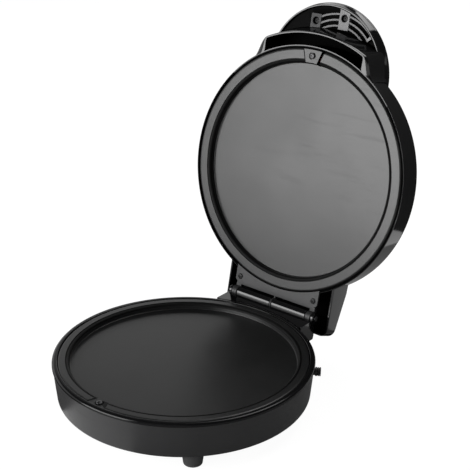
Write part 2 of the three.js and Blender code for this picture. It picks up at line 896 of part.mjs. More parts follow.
// Tongue: the flat plate between the lid's rim and the hinge, with its lugs.
function tongueOutline(grow) {
  const half = tongueHalf + grow;
  const start = tailStartY;
  return outlineOf([
    [-half, start],
    [half, start],
    [half, tongueCorner],
    [half - (tongueEnd - tongueCorner), tongueEnd + grow],
    [(tongueEnd - tongueCorner) - half, tongueEnd + grow],
    [-half, tongueCorner],
  ]);
}

function lugProfile(width) {
  const armStart = tongueEnd - tongueWall;
  const arm = block(
    [-width / 2, armStart, lidRimZ],
    [width / 2, hingeY, hingeZ + lugRadius - gap],
  );
  return join(arm, hingeBar(lugRadius, -width / 2, width / 2));
}

function shifted(solid, x) {
  const geometry = geometryOf(solid);
  geometry.translate(x, 0, 0);
  return solidOf(geometry);
}

function hingeTongue() {
  const plate = slab(tongueOutline(0), lidRimZ, lidRimZ + tongueWall);
  const lugMiddle = (lugStart + lugEnd) / 2;
  const lugs = [
    shifted(lugProfile(lugWidth), lugMiddle),
    shifted(lugProfile(lugWidth), -lugMiddle),
    lugProfile(2 * centreRibHalf),
  ];
  const holes = [1, -1].map((side) => {
    const options = { x: side * tongueScrewX, y: tongueScrewY, steps: smallSteps };
    return disc(screwShank + gap, lidRimZ - overrun, lidRimZ + tongueWall + overrun, options);
  });
  const bore = hingeBar(pinRadius + gap, -blockHalf, blockHalf);
  return cut(join(plate, ...lugs), disc(upperPlateRadius + gap, lidRimZ - overrun, lidTop), ...holes, bore);
}

// Each grip screw goes through its own tab; the two stand a little askew.
const gripScrewPlace = (side) => ({ x: side * gripTabX, y: gripMiddleY - side * gripScrewSkew });

function lidShell() {
  const outer = join(
    turned(lidOuterProfile()),
    handleOuter(),
    pocketOuter(),
    cut(tailForm(0, tailFrontZ), lidDisc(lidRimInner)),
  );
  const posts = [1, -1].map((side) => {
    const options = { x: side * tongueScrewX, y: tongueScrewY, steps: smallSteps };
    return disc(tonguePostRadius, lidRimZ + tongueWall + gap, tonguePostTop, options);
  });
  const pilots = [1, -1].map((side) => {
    const options = { x: side * tongueScrewX, y: tongueScrewY, steps: smallSteps };
    return disc(screwShank + gap, lidRimZ, lidRimZ + tongueWall + screwLength, options);
  });
  const gripTop = gripFloorZ + gripFloorWall + gap;
  for (const side of [1, -1]) {
    const options = { ...gripScrewPlace(side), steps: smallSteps };
    posts.push(disc(gripPostRadius, gripTop, handleTop - lidWall / 2, options));
    pilots.push(disc(screwShank + gap, gripFloorZ, gripFloorZ + gripScrewLength, options));
  }
  const bossReach = (panRadius + upperPlateRadius) / 2;
  const plateBossFloor = lidRimZ + plateEdgeDrop + gap;
  const plateBoss = block(
    [-bossHalf, -lidRimRadius + lidWall / 2, plateBossFloor],
    [bossHalf, -bossInner, plateBossFloor + bossHeight],
  );
  const platePilot = disc(screwShank + gap, lidRimZ, plateBossFloor + bossHeight - lidWall, {
    y: -bossReach,
    steps: smallSteps,
  });
  const lampHoles = [1, -1].map((side) => {
    const options = { x: side * lampX, y: lampY, steps: smallSteps };
    return disc(lampRadius + gap, lidShoulderZ, lidTop + overrun, options);
  });
  const hollowed = cut(
    outer,
    turned(lidInnerProfile()),
    pocketHollow(),
    cut(handleHollow(0), pocketCone(0)),
    cut(tailForm(tailWall, tailFrontZ - overrun), lidDisc(lidRimRadius)),
    slab(tongueOutline(gap), lidRimZ - overrun, lidRimZ + tongueWall + gap),
  );
  return cut(join(hollowed, ...posts, plateBoss), ...pilots, platePilot, ...lampHoles);
}

// Grip plate: the ribbed floor of the handle's underside, held by two screws through flat tabs.
function gripPlate() {
  const centre = { y: handleEdgeY };
  const lens = (low, high) => {
    const radius = handleEdgeRadius - handleEdgeWall - gap;
    return cut(disc(radius, low, high, centre), pocketCone(gap));
  };
  const floor = lens(gripFloorZ, gripFloorZ + gripFloorWall);
  const ribs = gripRibInsets.map((inset) => {
    const radius = handleEdgeRadius - inset;
    const options = { x: gripRibX, y: gripRibY };
    return ring(radius - gripRibWidth, radius, handleEdgeZ, gripFloorZ + gripFloorWall / 2, options);
  });
  const tabs = [1, -1].map((side) => {
    const x = side * gripTabX;
    const inner = gripMiddleY + gripTabInner - side * gripTabSkew;
    return block(
      [x - gripTabWidth / 2, handleEdgeY - handleEdgeRadius, handleEdgeZ - gripTabSink],
      [x + gripTabWidth / 2, inner, gripFloorZ + gripFloorWall / 2],
    );
  });
  const window = lens(handleEdgeZ - overrun, gripFloorZ + gripFloorWall);
  const holes = [1, -1].map((side) => {
    const options = { ...gripScrewPlace(side), steps: smallSteps };
    return disc(screwShank + gap, handleEdgeZ - overrun, handleTop, options);
  });
  const wells = [1, -1].map((side) => {
    const options = { ...gripScrewPlace(side), steps: smallSteps };
    return disc(screwHead + gap, handleEdgeZ - overrun, gripFloorZ - gripFloorWall / 2, options);
  });
  return cut(join(floor, ...[...ribs, ...tabs].map((piece) => piece.intersect(window))), ...holes, ...wells);
}

function lampLens(x) {
  const top = handleTop + lampProud;
  const options = { x, y: lampY, steps: smallSteps };
  return turned(
    [
      [0, top - lidRounding],
      [lampRadius, top - lidRounding],
      [lampRadius, top - lampProud],
      [lampRadius - lampProud, top],
      [0, top + lampProud / 2],
    ],
    options,
  );
}

// A screw driven from below, in the lid's closed frame: its head is under the seat.
function screwFromBelow(x, y, seat, length = screwLength) {
  const options = { shank: screwShank, head: screwHead, headHeight: screwHeadHeight, length };
  return turnedOver(crossHeadScrew({ ...options, x: -x, y, seat: 0 }), seat);
}

function lowerPlateScrew() {
  return crossHeadScrew({
    shank: screwShank,
    head: screwHead,
    headHeight: screwHeadHeight,
    length: screwLength,
    x: 0,
    y: -lowerScrewReach,
    seat: lowerTabFace + gap,
  });
}

function part(name, shape, finish) {
  const geometry = shape.isBufferGeometry ? shape : geometryOf(shape);
  const mesh = new THREE.Mesh(geometry, new THREE.MeshStandardMaterial(finishes[finish]));
  mesh.name = name;
  return mesh;
}

const upperScrewReach = (panRadius + upperPlateRadius) / 2;
const elementBody = elementSolid();

function base() {
  const group = new THREE.Group();
  group.add(
    part("base_shell", baseShell(), "satinBlack"),
    part("bottom_cover", bottomCover(), "matteBlack"),
    part("lower_plate", movedUp(plateSolid(lowerPlateRadius, lowerScrewReach), lowerPlateTop), "nonStick"),
    part("lower_plate_screw", lowerPlateScrew(), "steel"),
    part("lower_heating_element", movedUp(elementBody, lowerUnderside - gap), "heatSheath"),
    part("lower_reflector_pan", movedUp(reflectorSolid(), lowerUnderside), "aluminium"),
    part("lower_thermostat", movedUp(thermostatSolid(), lowerUnderside), "ceramic"),
    part("thermal_fuse", thermalFuse(), "steel"),
    part("terminal_block", terminalBlock(), "ceramic"),
    part("cord_gland", cordGland(), "rubber"),
    part("hinge_block", hingeBlock(), "glossBlack"),
    part("hinge_pin", hingePin(), "steel"),
  );
  for (const [name, turn] of feet) {
    group.add(part(name, foot(turn), "rubber"));
    group.add(part(`${name}_screw`, footScrew(turn), "steel"));
  }
  return group;
}

function lid() {
  const closed = new THREE.Group();
  const handleSeat = gripFloorZ - gripFloorWall / 2 - gap;
  const tongueSeat = lidRimZ - gap;
  const plateSeat = lidRimZ + tabDepth - gap;
  closed.add(
    part("lid_shell", lidShell(), "glossBlack"),
    part("grip_plate", gripPlate(), "satinBlack"),
    part("upper_plate", turnedOver(plateSolid(upperPlateRadius, upperScrewReach), lidRimZ), "nonStick"),
    part("upper_plate_screw", screwFromBelow(0, -upperScrewReach, plateSeat), "steel"),
    part("upper_heating_element", turnedOver(elementBody, upperUnderside + gap), "heatSheath"),
    part("upper_reflector_pan", turnedOver(reflectorSolid(), upperUnderside), "aluminium"),
    part("upper_thermostat", turnedOver(thermostatSolid(), upperUnderside), "ceramic"),
    part("hinge_tongue", hingeTongue(), "matteBlack"),
    part("power_lamp_lens", lampLens(-lampX), "redLens"),
    part("ready_lamp_lens", lampLens(lampX), "greenLens"),
  );
  for (const [side, hand] of [["left", -1], ["right", 1]]) {
    const place = gripScrewPlace(hand);
    const gripScrew = screwFromBelow(place.x, place.y, handleSeat, gripScrewLength);
    const tongueScrew = screwFromBelow(hand * tongueScrewX, tongueScrewY, tongueSeat);
    closed.add(part(`grip_screw_${side}`, gripScrew, "steel"));
    closed.add(part(`tongue_screw_${side}`, tongueScrew, "steel"));
  }
  closed.position.set(0, -hingeY, -hingeZ);
  const pivot = new THREE.Group();
  pivot.position.set(0, hingeY, hingeZ);
  pivot.rotation.x = -openAngle;
  pivot.add(closed);
  return pivot;
}

// The whole stands on its feet at height zero, centred under its own box.
function pizzaMaker() {
  const whole = new THREE.Group();
  whole.add(base(), lid());
  whole.updateMatrixWorld(true);
  const box = new THREE.Box3().setFromObject(whole, true);
  whole.position.y = -(box.min.y + box.max.y) / 2;
  whole.updateMatrixWorld(true);
  return whole;
}

export default pizzaMaker();
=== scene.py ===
# %% [markdown]
# # An electric pizza maker with its lid open
# Two round cooking plates sit in black moulded bodies that share one hinge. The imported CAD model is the
# fixed frame: it says where every piece is and what moves. This lesson dresses it: fine meshes in place of
# the faceted ones, procedural finishes, a camera and soft light.

import json
import math

import bmesh
import bpy
from mathutils import Matrix, Vector


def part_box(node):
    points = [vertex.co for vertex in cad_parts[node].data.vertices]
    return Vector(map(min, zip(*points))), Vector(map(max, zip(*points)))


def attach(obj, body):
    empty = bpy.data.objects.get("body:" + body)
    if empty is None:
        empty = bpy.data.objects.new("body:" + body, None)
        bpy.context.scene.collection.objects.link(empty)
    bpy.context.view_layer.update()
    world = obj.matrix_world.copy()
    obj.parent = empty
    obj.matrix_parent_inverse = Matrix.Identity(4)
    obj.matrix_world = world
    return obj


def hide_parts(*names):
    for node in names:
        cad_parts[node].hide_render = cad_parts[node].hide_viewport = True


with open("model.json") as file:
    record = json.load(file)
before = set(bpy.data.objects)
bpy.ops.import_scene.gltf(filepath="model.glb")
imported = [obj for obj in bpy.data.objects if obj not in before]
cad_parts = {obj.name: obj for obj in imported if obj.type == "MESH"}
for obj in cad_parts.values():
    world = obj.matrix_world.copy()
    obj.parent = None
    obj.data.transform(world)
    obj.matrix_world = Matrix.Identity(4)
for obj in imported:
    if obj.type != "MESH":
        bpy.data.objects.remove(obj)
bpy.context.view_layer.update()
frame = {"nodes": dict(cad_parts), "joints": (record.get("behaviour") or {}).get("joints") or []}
scene = bpy.context.scene
scene.view_settings.view_transform = "Standard"

# %% [markdown]
# Everything is placed from the frame. The base's centre comes from its shell, and the hinge line from the
# joint. The lid's pieces are drawn closed, lying over the base, where their sizes are easy to read, and one
# matrix then swings them open. A metre is a clumsy unit for a kitchen appliance, so sizes are written in
# millimetres and the place matrices scale them down.

# %% Places of the two bodies
MM = 0.001
joint = frame["joints"][0]
hinge_point = Vector(joint["pos_m"])
open_turn = math.radians(joint["range_deg"][1])
shell_low, shell_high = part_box("base_shell")
base_middle = Vector(((shell_low.x + shell_high.x) / 2, (shell_low.y + shell_high.y) / 2, 0))
base_place = Matrix.Translation(base_middle) @ Matrix.Scale(MM, 4)
to_hinge = Matrix.Translation(hinge_point)
from_hinge = Matrix.Translation(-hinge_point)
lid_place = to_hinge @ Matrix.Rotation(-open_turn, 4, "X") @ from_hinge @ base_place
PLACES = {"base": base_place, "lid": lid_place}
hinge_y = (hinge_point.y - base_middle.y) / MM
hinge_z = hinge_point.z / MM
print("hinge line in the base's frame, mm:", round(hinge_y, 2), round(hinge_z, 2))

# %% [markdown]
# ## Camera
# The camera was solved from the photograph's ellipses: two rims and two plates give the azimuth, the height,
# the distance and the lens all at once. A long lens from 1.6 m keeps the circles nearly round.

# %% Camera
IMAGE_SIDE = 470
SENSOR_WIDTH = 36
FOCAL_PIXELS = 1227.13
CENTRE_PIXEL = (210.55, 233.05)
AZIMUTH = math.radians(39.74)
ELEVATION = math.radians(23.14)
DISTANCE = 1.60678
TARGET = Vector((0, 55.51, 227.85)) * MM + base_middle


def add_camera():
    data = bpy.data.cameras.new("camera")
    camera = bpy.data.objects.new("camera", data)
    scene.collection.objects.link(camera)
    data.sensor_width = SENSOR_WIDTH
    data.lens = SENSOR_WIDTH * FOCAL_PIXELS / IMAGE_SIDE
    half = IMAGE_SIDE / 2
    data.shift_x = (half - CENTRE_PIXEL[0]) / IMAGE_SIDE
    data.shift_y = (CENTRE_PIXEL[1] - half) / IMAGE_SIDE
    flat = math.cos(ELEVATION)
    back = Vector((math.sin(AZIMUTH) * flat, -math.cos(AZIMUTH) * flat, math.sin(ELEVATION)))
    camera.location = TARGET + back * DISTANCE
    camera.rotation_mode = "QUATERNION"
    camera.rotation_quaternion = (-back).to_track_quat("-Z", "Y")
    scene.camera = camera
    return camera


print("lens:", round(add_camera().data.lens, 1), "mm")

# %% [markdown]
# ## Floor and room
# The floor is plain and pale. In a product photograph it is lit until it turns white, which would flood the
# object too. Here its own glow does that, and only for rays that look at it: the camera's, and those that a
# shiny or clear surface sends out. The rest of its colour still answers to the lamps, so it keeps a shadow.

# %% Floor
FLOOR_SIZE = 14
FLOOR_COLOUR = (0.12, 0.12, 0.12)
FLOOR_GLOW = 0.95


def seen_rays(nodes, links):
    """1 for rays that look at a surface directly or in a mirror or glass, 0 for soft bounced light."""
    path = nodes.new("ShaderNodeLightPath")
    total = path.outputs["Is Camera Ray"]
    for ray in ("Is Glossy Ray", "Is Transmission Ray"):
        either = nodes.new("ShaderNodeMath")
        either.operation = "MAXIMUM"
        links.new(total, either.inputs[0])
        links.new(path.outputs[ray], either.inputs[1])
        total = either.outputs[0]
    return total


def stage_sheet(name, corners, faces, colour):
    """A dull flat sheet that belongs to the studio and not to the object."""
    mesh = bpy.data.meshes.new(name)
    mesh.from_pydata(corners, [], faces)
    sheet = bpy.data.objects.new(name, mesh)
    scene.collection.objects.link(sheet)
    material = bpy.data.materials.new(name)
    material.use_nodes = True
    shader = material.node_tree.nodes["Principled BSDF"]
    shader.inputs["Base Color"].default_value = (*colour, 1)
    shader.inputs["Roughness"].default_value = 1.0
    shader.inputs["Specular IOR Level"].default_value = 0.0
    mesh.materials.append(material)
    return sheet


def add_floor():
    half = FLOOR_SIZE / 2
    corners = [(-half, -half, 0), (half, -half, 0), (half, half, 0), (-half, half, 0)]
    floor = stage_sheet("floor", corners, [(0, 1, 2, 3)], FLOOR_COLOUR)
    tree = floor.data.materials[0].node_tree
    shader = tree.nodes["Principled BSDF"]
    shader.inputs["Emission Color"].default_value = (1, 1, 1, 1)
    glow = tree.nodes.new("ShaderNodeMath")
    glow.operation = "MULTIPLY"
    glow.inputs[1].default_value = FLOOR_GLOW
    tree.links.new(seen_rays(tree.nodes, tree.links), glow.inputs[0])
    tree.links.new(glow.outputs[0], shader.inputs["Emission Strength"])


add_floor()
print("floor:", FLOOR_SIZE, "m across")

# %% [markdown]
# Black plastic shows almost nothing of its own colour. What the eye reads is what it mirrors. The room is
# white low down, like a paper sweep, and dark overhead, so tops stay black. One could light a real room
# model, but a gradient over the height is quick and has no noise.

# %% Room
WHITE_BELOW = 0.44
DARK_ABOVE = 0.52
ROOM_WHITE = 1.0
ROOM_DARK = 0.05


def set_world():
    world = bpy.data.worlds.new("room")
    scene.world = world
    world.use_nodes = True
    nodes, links = world.node_tree.nodes, world.node_tree.links
    where = nodes.new("ShaderNodeTexCoord")
    axes = nodes.new("ShaderNodeSeparateXYZ")
    links.new(where.outputs["Generated"], axes.inputs[0])
    shade = nodes.new("ShaderNodeMapRange")
    shade.interpolation_type = "SMOOTHSTEP"
    shade.inputs["From Min"].default_value = WHITE_BELOW
    shade.inputs["From Max"].default_value = DARK_ABOVE
    shade.inputs["To Min"].default_value = ROOM_WHITE
    shade.inputs["To Max"].default_value = ROOM_DARK
    links.new(axes.outputs["Z"], shade.inputs["Value"])
    links.new(shade.outputs["Result"], nodes["Background"].inputs["Color"])


set_world()
print("room: white below", WHITE_BELOW, "and dark above", DARK_ABOVE, "of its height")

# %% [markdown]
# A photographer also stands black cards, called flags, round such a thing: the lid's side mirrors them and
# turns deep black with a crisp edge. They leave the left open. Cards that lie on the floor do the same for
# the base's side, a black one on the left and a grey one on the right. The grey card behind the lid is a
# painted shadow: the lid's lower side mirrors it where the floor would lie in the lid's shadow, which the
# glowing floor hardly shows. All of them are there for mirrored rays alone, so they throw no shadow and never
# show.

# %% Flags and floor cards
CARD_Z = 0.002
BLACK_CARD = (0.1, 0.1, 0.1)
GREY_CARD = (0.42, 0.42, 0.42)
WING_TOPS = [(-0.33, 0.45, 0.5), (0.1, 0.45, 0.5), (0.12, 0.45, 0.64), (1.3, 0.45, 0.9),
             (1.3, -1.9, 0.9), (-0.15, -2.2, 0.9)]


def floor_card(left, right, near, far):
    return [(left, near, CARD_Z), (right, near, CARD_Z), (right, far, CARD_Z), (left, far, CARD_Z)]


def add_cards():
    """Wings of black card behind the object, to its right and in front of it, and cards on the floor."""
    count = len(WING_TOPS)
    faces = [(i, i + 1, i + 1 + count, i + count) for i in range(count - 1)]
    faces.append(tuple(range(2 * count, 2 * count + 4)))
    left_card = floor_card(left=-0.7, right=-0.11, near=-0.6, far=0.1)
    corners = [(x, y, CARD_Z) for x, y, top in WING_TOPS] + WING_TOPS + left_card
    black = stage_sheet("black_flags", corners, faces, BLACK_CARD)
    right_card = floor_card(left=0.05, right=0.6, near=-0.6, far=0.2)
    # The card behind the lid is a painted shadow, mirrored by the lid's lower side.
    shadow_card = floor_card(left=-0.05, right=0.2, near=0.28, far=0.45)
    grey = stage_sheet("grey_cards", right_card + shadow_card, [(0, 1, 2, 3), (4, 5, 6, 7)], GREY_CARD)
    for card in (black, grey):
        for ray in ("camera", "diffuse", "transmission", "volume_scatter", "shadow"):
            setattr(card, f"visible_{ray}", False)


add_cards()

# %% [markdown]
# Two soft boxes do the lighting. A wide one overhead and behind draws the pale patch on the handle's band. A
# panel low at the front left is mirrored by the upper plate, which is why a black coating looks mid grey
# there, and it puts the thin line on each hinge barrel. Together they light a white sheet to about white and
# no further, so each finish shows near its written colour.

# %% Soft boxes
SOFT_BOXES = {
    "overhead": {
        "place": (0.16, 1.25, 2.1),
        "aim": (0.16, 1.25, 0),
        "size": (1.28, 1.6),
        "radiance": 4.2,
    },
    "front_panel": {
        "place": (-0.72, -1.68, 0.68),
        "aim": (0, 0.1, 0.3),
        "size": (1.4, 1.2),
        "radiance": 7.0,
    },
}


def add_lamp(name, place, aim, size, radiance):
    """A soft box. Its power follows from its size and from how bright its face is."""
    data = bpy.data.lights.new(name, "AREA")
    data.shape = "RECTANGLE"
    data.size, data.size_y = size
    data.energy = radiance * math.pi * size[0] * size[1]
    lamp = bpy.data.objects.new(name, data)
    scene.collection.objects.link(lamp)
    lamp.location = place
    lamp.rotation_euler = (Vector(aim) - Vector(place)).to_track_quat("-Z", "Y").to_euler()
    lamp.visible_camera = False


for lamp_name, box in SOFT_BOXES.items():
    add_lamp(lamp_name, **box)
print("soft boxes:", {lamp.name: round(lamp.energy, 1) for lamp in bpy.data.lights})

# %% [markdown]
# ## A small kit for solid forms
# Nearly every moulding here is a turned form with something joined to it or cut from it. One could model
# each by hand with extrusions and an inset here and there. Spinning a section drawn as (radius, height)
# pairs is exact, and the numbers stay readable, so that is the way taken. Roundings are arcs in the section.

# %% Turned forms
RING_STEPS = 240
ROUND_STEPS = 48
AXIS_LIMIT = 1e-6


def solid_from(points, faces):
    """Make an object whose faces all point outwards."""
    mesh = bpy.data.meshes.new("solid")
    mesh.from_pydata(points, [], faces)
    form = bmesh.new()
    form.from_mesh(mesh)
    bmesh.ops.recalc_face_normals(form, faces=form.faces)
    form.to_mesh(mesh)
    form.free()
    solid = bpy.data.objects.new("solid", mesh)
    scene.collection.objects.link(solid)
    return solid


def polar(radius, turn):
    """The front of the pizza maker is -Y, and angles grow towards +X."""
    return radius * math.sin(turn), -radius * math.cos(turn)


def arc(radius, height, rounding, start, end, steps=6):
    """Points of a rounding about (radius, height), from one angle to another in degrees."""
    turns = [math.radians(start + (end - start) * i / steps) for i in range(steps + 1)]
    return [(radius + rounding * math.cos(t), height + rounding * math.sin(t)) for t in turns]


def turned(section, steps=RING_STEPS, x=0, y=0):
    """Spin a section. One that starts and ends on the axis is solid, any other closes into a ring."""
    points, rows = [], []
    for radius, height in section:
        if radius < AXIS_LIMIT:
            rows.append([len(points)] * steps)
            points.append((x, y, height))
            continue
        rows.append(list(range(len(points), len(points) + steps)))
        for i in range(steps):
            px, py = polar(radius, 2 * math.pi * i / steps)
            points.append((x + px, y + py, height))
    if section[0][0] > AXIS_LIMIT:
        rows.append(rows[0])
    faces = []
    for low, high in zip(rows, rows[1:]):
        for i in range(steps):
            j = (i + 1) % steps
            face = tuple(dict.fromkeys((low[i], low[j], high[j], high[i])))
            if len(face) > 2:
                faces.append(face)
    return solid_from(points, faces)


def post(radius, low, high):
    """Section of a plain round post or bore."""
    return [(0, low), (radius, low), (radius, high), (0, high)]


print("ring steps:", RING_STEPS, "and for small round things:", ROUND_STEPS)

# %% [markdown]
# Forms that aren't round are lofts: a row of outlines, one above the other, skinned into one closed body. A
# slab is a loft of two equal outlines, and a section pushed sideways is the same thing lying down.

# %% Lofts, slabs and bars
def loft(rings):
    """Skin a row of closed outlines that have the same number of points."""
    count = len(rings[0])
    points = [tuple(point) for ring in rings for point in ring]
    faces = [tuple(range(count)), tuple(range(len(points) - count, len(points)))]
    for k in range(len(rings) - 1):
        for i in range(count):
            j = (i + 1) % count
            faces.append((k * count + i, k * count + j, (k + 1) * count + j, (k + 1) * count + i))
    return solid_from(points, faces)


def slab(outline, low, high):
    return loft([[(x, y, z) for x, y in outline] for z in (low, high)])


def sideways(outline, start, end):
    """Push a (y, z) outline along X."""
    return loft([[(x, y, z) for y, z in outline] for x in (start, end)])


def block(low, high):
    outline = [(low[0], low[1]), (high[0], low[1]), (high[0], high[1]), (low[0], high[1])]
    return slab(outline, low[2], high[2])


def moved(solid, matrix):
    """Move the points themselves, so that the object stays on the origin."""
    solid.data.transform(matrix)
    return solid


def bar_section(radius, start, end, ease):
    """Section of a round bar whose end edges are eased."""
    ease = min(ease, radius / 2)
    return [
        (0, start),
        *arc(radius - ease, start + ease, ease, -90, 0, 4),
        *arc(radius - ease, end - ease, ease, 0, 90, 4),
        (0, end),
    ]


SHARP = 0.01


def hinge_bar(radius, start, end, ease=0.4):
    """A round bar on the hinge line. One that only cuts has sharp ends."""
    along_x = Matrix.Translation((0, hinge_y, hinge_z)) @ Matrix.Rotation(math.pi / 2, 4, "Y")
    return moved(turned(bar_section(radius, start, end, ease), ROUND_STEPS), along_x)


print("a slab, a sideways section and a hinge bar can now be made")

# %% [markdown]
# Boolean modifiers join and cut the forms. The Manifold solver is quick and keeps closed bodies closed. Each
# modifier is applied at once, so what is left is a plain mesh. An eased edge catches a thin line of light,
# which is what makes a moulding look like plastic and not like folded paper: the bevel does that.

# %% Joining, cutting and easing
def applied(solid, spent=()):
    """Turn an object with modifiers into a plain mesh, and drop the tools that it used."""
    graph = bpy.context.evaluated_depsgraph_get()
    mesh = bpy.data.meshes.new_from_object(solid.evaluated_get(graph))
    solid.modifiers.clear()
    solid.data = mesh
    for tool in spent:
        bpy.data.objects.remove(tool)
    return solid


def combined(solid, tools, operation):
    for tool in tools:
        step = solid.modifiers.new("step", "BOOLEAN")
        step.operation = operation
        step.solver = "MANIFOLD"
        step.object = tool
    return applied(solid, tools)


def joined(solid, *tools):
    return combined(solid, tools, "UNION")


def cut(solid, *tools):
    return combined(solid, tools, "DIFFERENCE")


def shared_by(solid, *tools):
    return combined(solid, tools, "INTERSECT")


def eased(solid, width, segments=3, angle=35):
    """Round the edges that bend by more than an angle in degrees."""
    bevel = solid.modifiers.new("ease", "BEVEL")
    bevel.width = width
    bevel.segments = segments
    bevel.limit_method = "ANGLE"
    bevel.angle_limit = math.radians(angle)
    return applied(solid)


print("solids are joined, cut and intersected, and their edges eased")

# %% [markdown]
# A finished form takes the place of its CAD solid. Smooth shading with sharp creases makes turned walls look
# round. Level faces are shaded flat, and weighted normals keep the other large faces even. One moulding can
# wear more than one finish: a test of each face's middle picks the faces that get an accent.

# %% Putting a piece on its body
CREASE_ANGLE = math.radians(32)
LEVEL_NORMAL = 0.99999


def add_piece(name, solid, body, material, node, accents=()):
    """Put a finished form on its body, in place of its CAD node. Accents are (material, test) pairs."""
    solid.name = name
    mesh = solid.data
    mesh.name = name
    mesh.materials.clear()
    mesh.materials.append(material)
    for slot, (accent, test) in enumerate(accents, 1):
        mesh.materials.append(accent)
        for face in mesh.polygons:
            if test(face.center):
                face.material_index = slot
    for face in mesh.polygons:
        face.use_smooth = abs(face.normal.z) < LEVEL_NORMAL
    mesh.transform(PLACES[body])
    mesh.set_sharp_from_angle(angle=CREASE_ANGLE)
    weighted = solid.modifiers.new("even_shading", "WEIGHTED_NORMAL")
    weighted.keep_sharp = True
    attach(solid, body)
    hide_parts(node)
    print(name, "-", len(mesh.polygons), "faces")


print("crease angle:", round(math.degrees(CREASE_ANGLE)), "degrees")

# %% [markdown]
# ## Finishes
# Moulded plastic is never perfectly even. It has a fine grain from the mould, and hands and cloths leave
# patches where the shine changes. Both effects are needed in nearly every material, so each is a node group,
# built once and used with its own values. The groups only put out masks and heights: the shader stays in
# the material.

# %% Helpers for node groups
def new_group(name, inputs, outputs):
    group = bpy.data.node_groups.new(name, "ShaderNodeTree")
    for label, default in inputs:
        socket = group.interface.new_socket(label, in_out="INPUT", socket_type="NodeSocketFloat")
        socket.default_value = default
    for label in outputs:
        group.interface.new_socket(label, in_out="OUTPUT", socket_type="NodeSocketFloat")
    entry = group.nodes.new("NodeGroupInput")
    leave = group.nodes.new("NodeGroupOutput")
    return group, entry, leave


def math_node(tree, operation, first, second=None, clamp=False):
    """Add a math node. Its inputs are sockets to link or plain numbers."""
    node = tree.nodes.new("ShaderNodeMath")
    node.operation = operation
    node.use_clamp = clamp
    for slot, value in enumerate((first, second)):
        if isinstance(value, bpy.types.NodeSocket):
            tree.links.new(value, node.inputs[slot])
        elif value is not None:
            node.inputs[slot].default_value = value
    return node.outputs[0]


def noise_node(tree, where, scale, detail):
    noise = tree.nodes.new("ShaderNodeTexNoise")
    noise.inputs["Detail"].default_value = detail
    tree.links.new(where, noise.inputs["Vector"])
    if isinstance(scale, bpy.types.NodeSocket):
        tree.links.new(scale, noise.inputs["Scale"])
    else:
        noise.inputs["Scale"].default_value = scale
    return noise.outputs[0]


print("node helpers are ready")

# %% [markdown]
# Three effects wear the surfaces. The grain is two sizes of noise multiplied, which breaks up its pattern.
# The handling group gives soft patches and faint long wipes. The edge group finds sharp convex edges, which
# cloths rub a little. Each could be painted by hand as an image, but noise has no seams and no size.

# %% Shared effects
COARSE_SHARE = 0.35
PATCH_START, PATCH_GAIN = 0.42, 3.2
WIPE_START, WIPE_GAIN = 0.55, 5
WIPE_SCALE = 14
EDGE_GAIN = 14


def make_grain_group():
    """Fine mould grain, as a height from 0 to 1."""
    group, entry, leave = new_group("mould_grain", [("Scale", 2500.0)], ["Height"])
    where = group.nodes.new("ShaderNodeTexCoord").outputs["Object"]
    fine = noise_node(group, where, entry.outputs["Scale"], detail=2)
    coarse_scale = math_node(group, "MULTIPLY", entry.outputs["Scale"], COARSE_SHARE)
    coarse = noise_node(group, where, coarse_scale, detail=2)
    group.links.new(math_node(group, "MULTIPLY", fine, coarse), leave.inputs["Height"])
    return group


def make_handling_group():
    """Soft patches where the shine changes, and faint long wipes."""
    group, entry, leave = new_group("handling", [("Patch Scale", 9.0)], ["Patches", "Wipes"])
    where = group.nodes.new("ShaderNodeTexCoord").outputs["Object"]
    patches = noise_node(group, where, entry.outputs["Patch Scale"], detail=4)
    spread = math_node(group, "SUBTRACT", patches, PATCH_START)
    patches = math_node(group, "MULTIPLY", spread, PATCH_GAIN, clamp=True)
    group.links.new(patches, leave.inputs["Patches"])
    stretch = group.nodes.new("ShaderNodeMapping")
    stretch.inputs["Scale"].default_value = (1, WIPE_SCALE, WIPE_SCALE)
    stretch.inputs["Rotation"].default_value = (0.3, 0.2, 0.7)
    group.links.new(where, stretch.inputs["Vector"])
    wipes = noise_node(group, stretch.outputs[0], WIPE_SCALE, detail=3)
    lifted = math_node(group, "SUBTRACT", wipes, WIPE_START)
    wipes = math_node(group, "MULTIPLY", lifted, WIPE_GAIN, clamp=True)
    group.links.new(wipes, leave.inputs["Wipes"])
    return group


def make_edge_group():
    """Edges that hands and cloths rub a little: 1 on a sharp convex edge, 0 on flat faces."""
    group, entry, leave = new_group("rubbed_edge", [("Start", 0.515)], ["Edge"])
    bend = group.nodes.new("ShaderNodeNewGeometry").outputs["Pointiness"]
    over = math_node(group, "SUBTRACT", bend, entry.outputs["Start"])
    edge = math_node(group, "MULTIPLY", over, EDGE_GAIN, clamp=True)
    group.links.new(edge, leave.inputs["Edge"])
    return group


grain_group = make_grain_group()
handling_group = make_handling_group()
edge_group = make_edge_group()
print("node groups:", [group.name for group in bpy.data.node_groups])

# %% [markdown]
# All the plastics, coatings and metals share one recipe: a colour that drifts a little between two tones, a
# roughness that the handling patches raise, edges that are slightly more polished, and a bump from the
# grain. Only the numbers differ, so one function builds them and each material keeps its own shader.

# %% The finish recipe
def blend_colours(tree, share, first, second):
    mix = tree.nodes.new("ShaderNodeMix")
    mix.data_type = "RGBA"
    mix.inputs["A"].default_value = (*first, 1)
    mix.inputs["B"].default_value = (*second, 1)
    tree.links.new(share, mix.inputs["Factor"])
    return mix.outputs["Result"]


def place_group(tree, group, **values):
    node = tree.nodes.new("ShaderNodeGroup")
    node.node_tree = group
    for label, value in values.items():
        node.inputs[label.replace("_", " ")].default_value = value
    return node


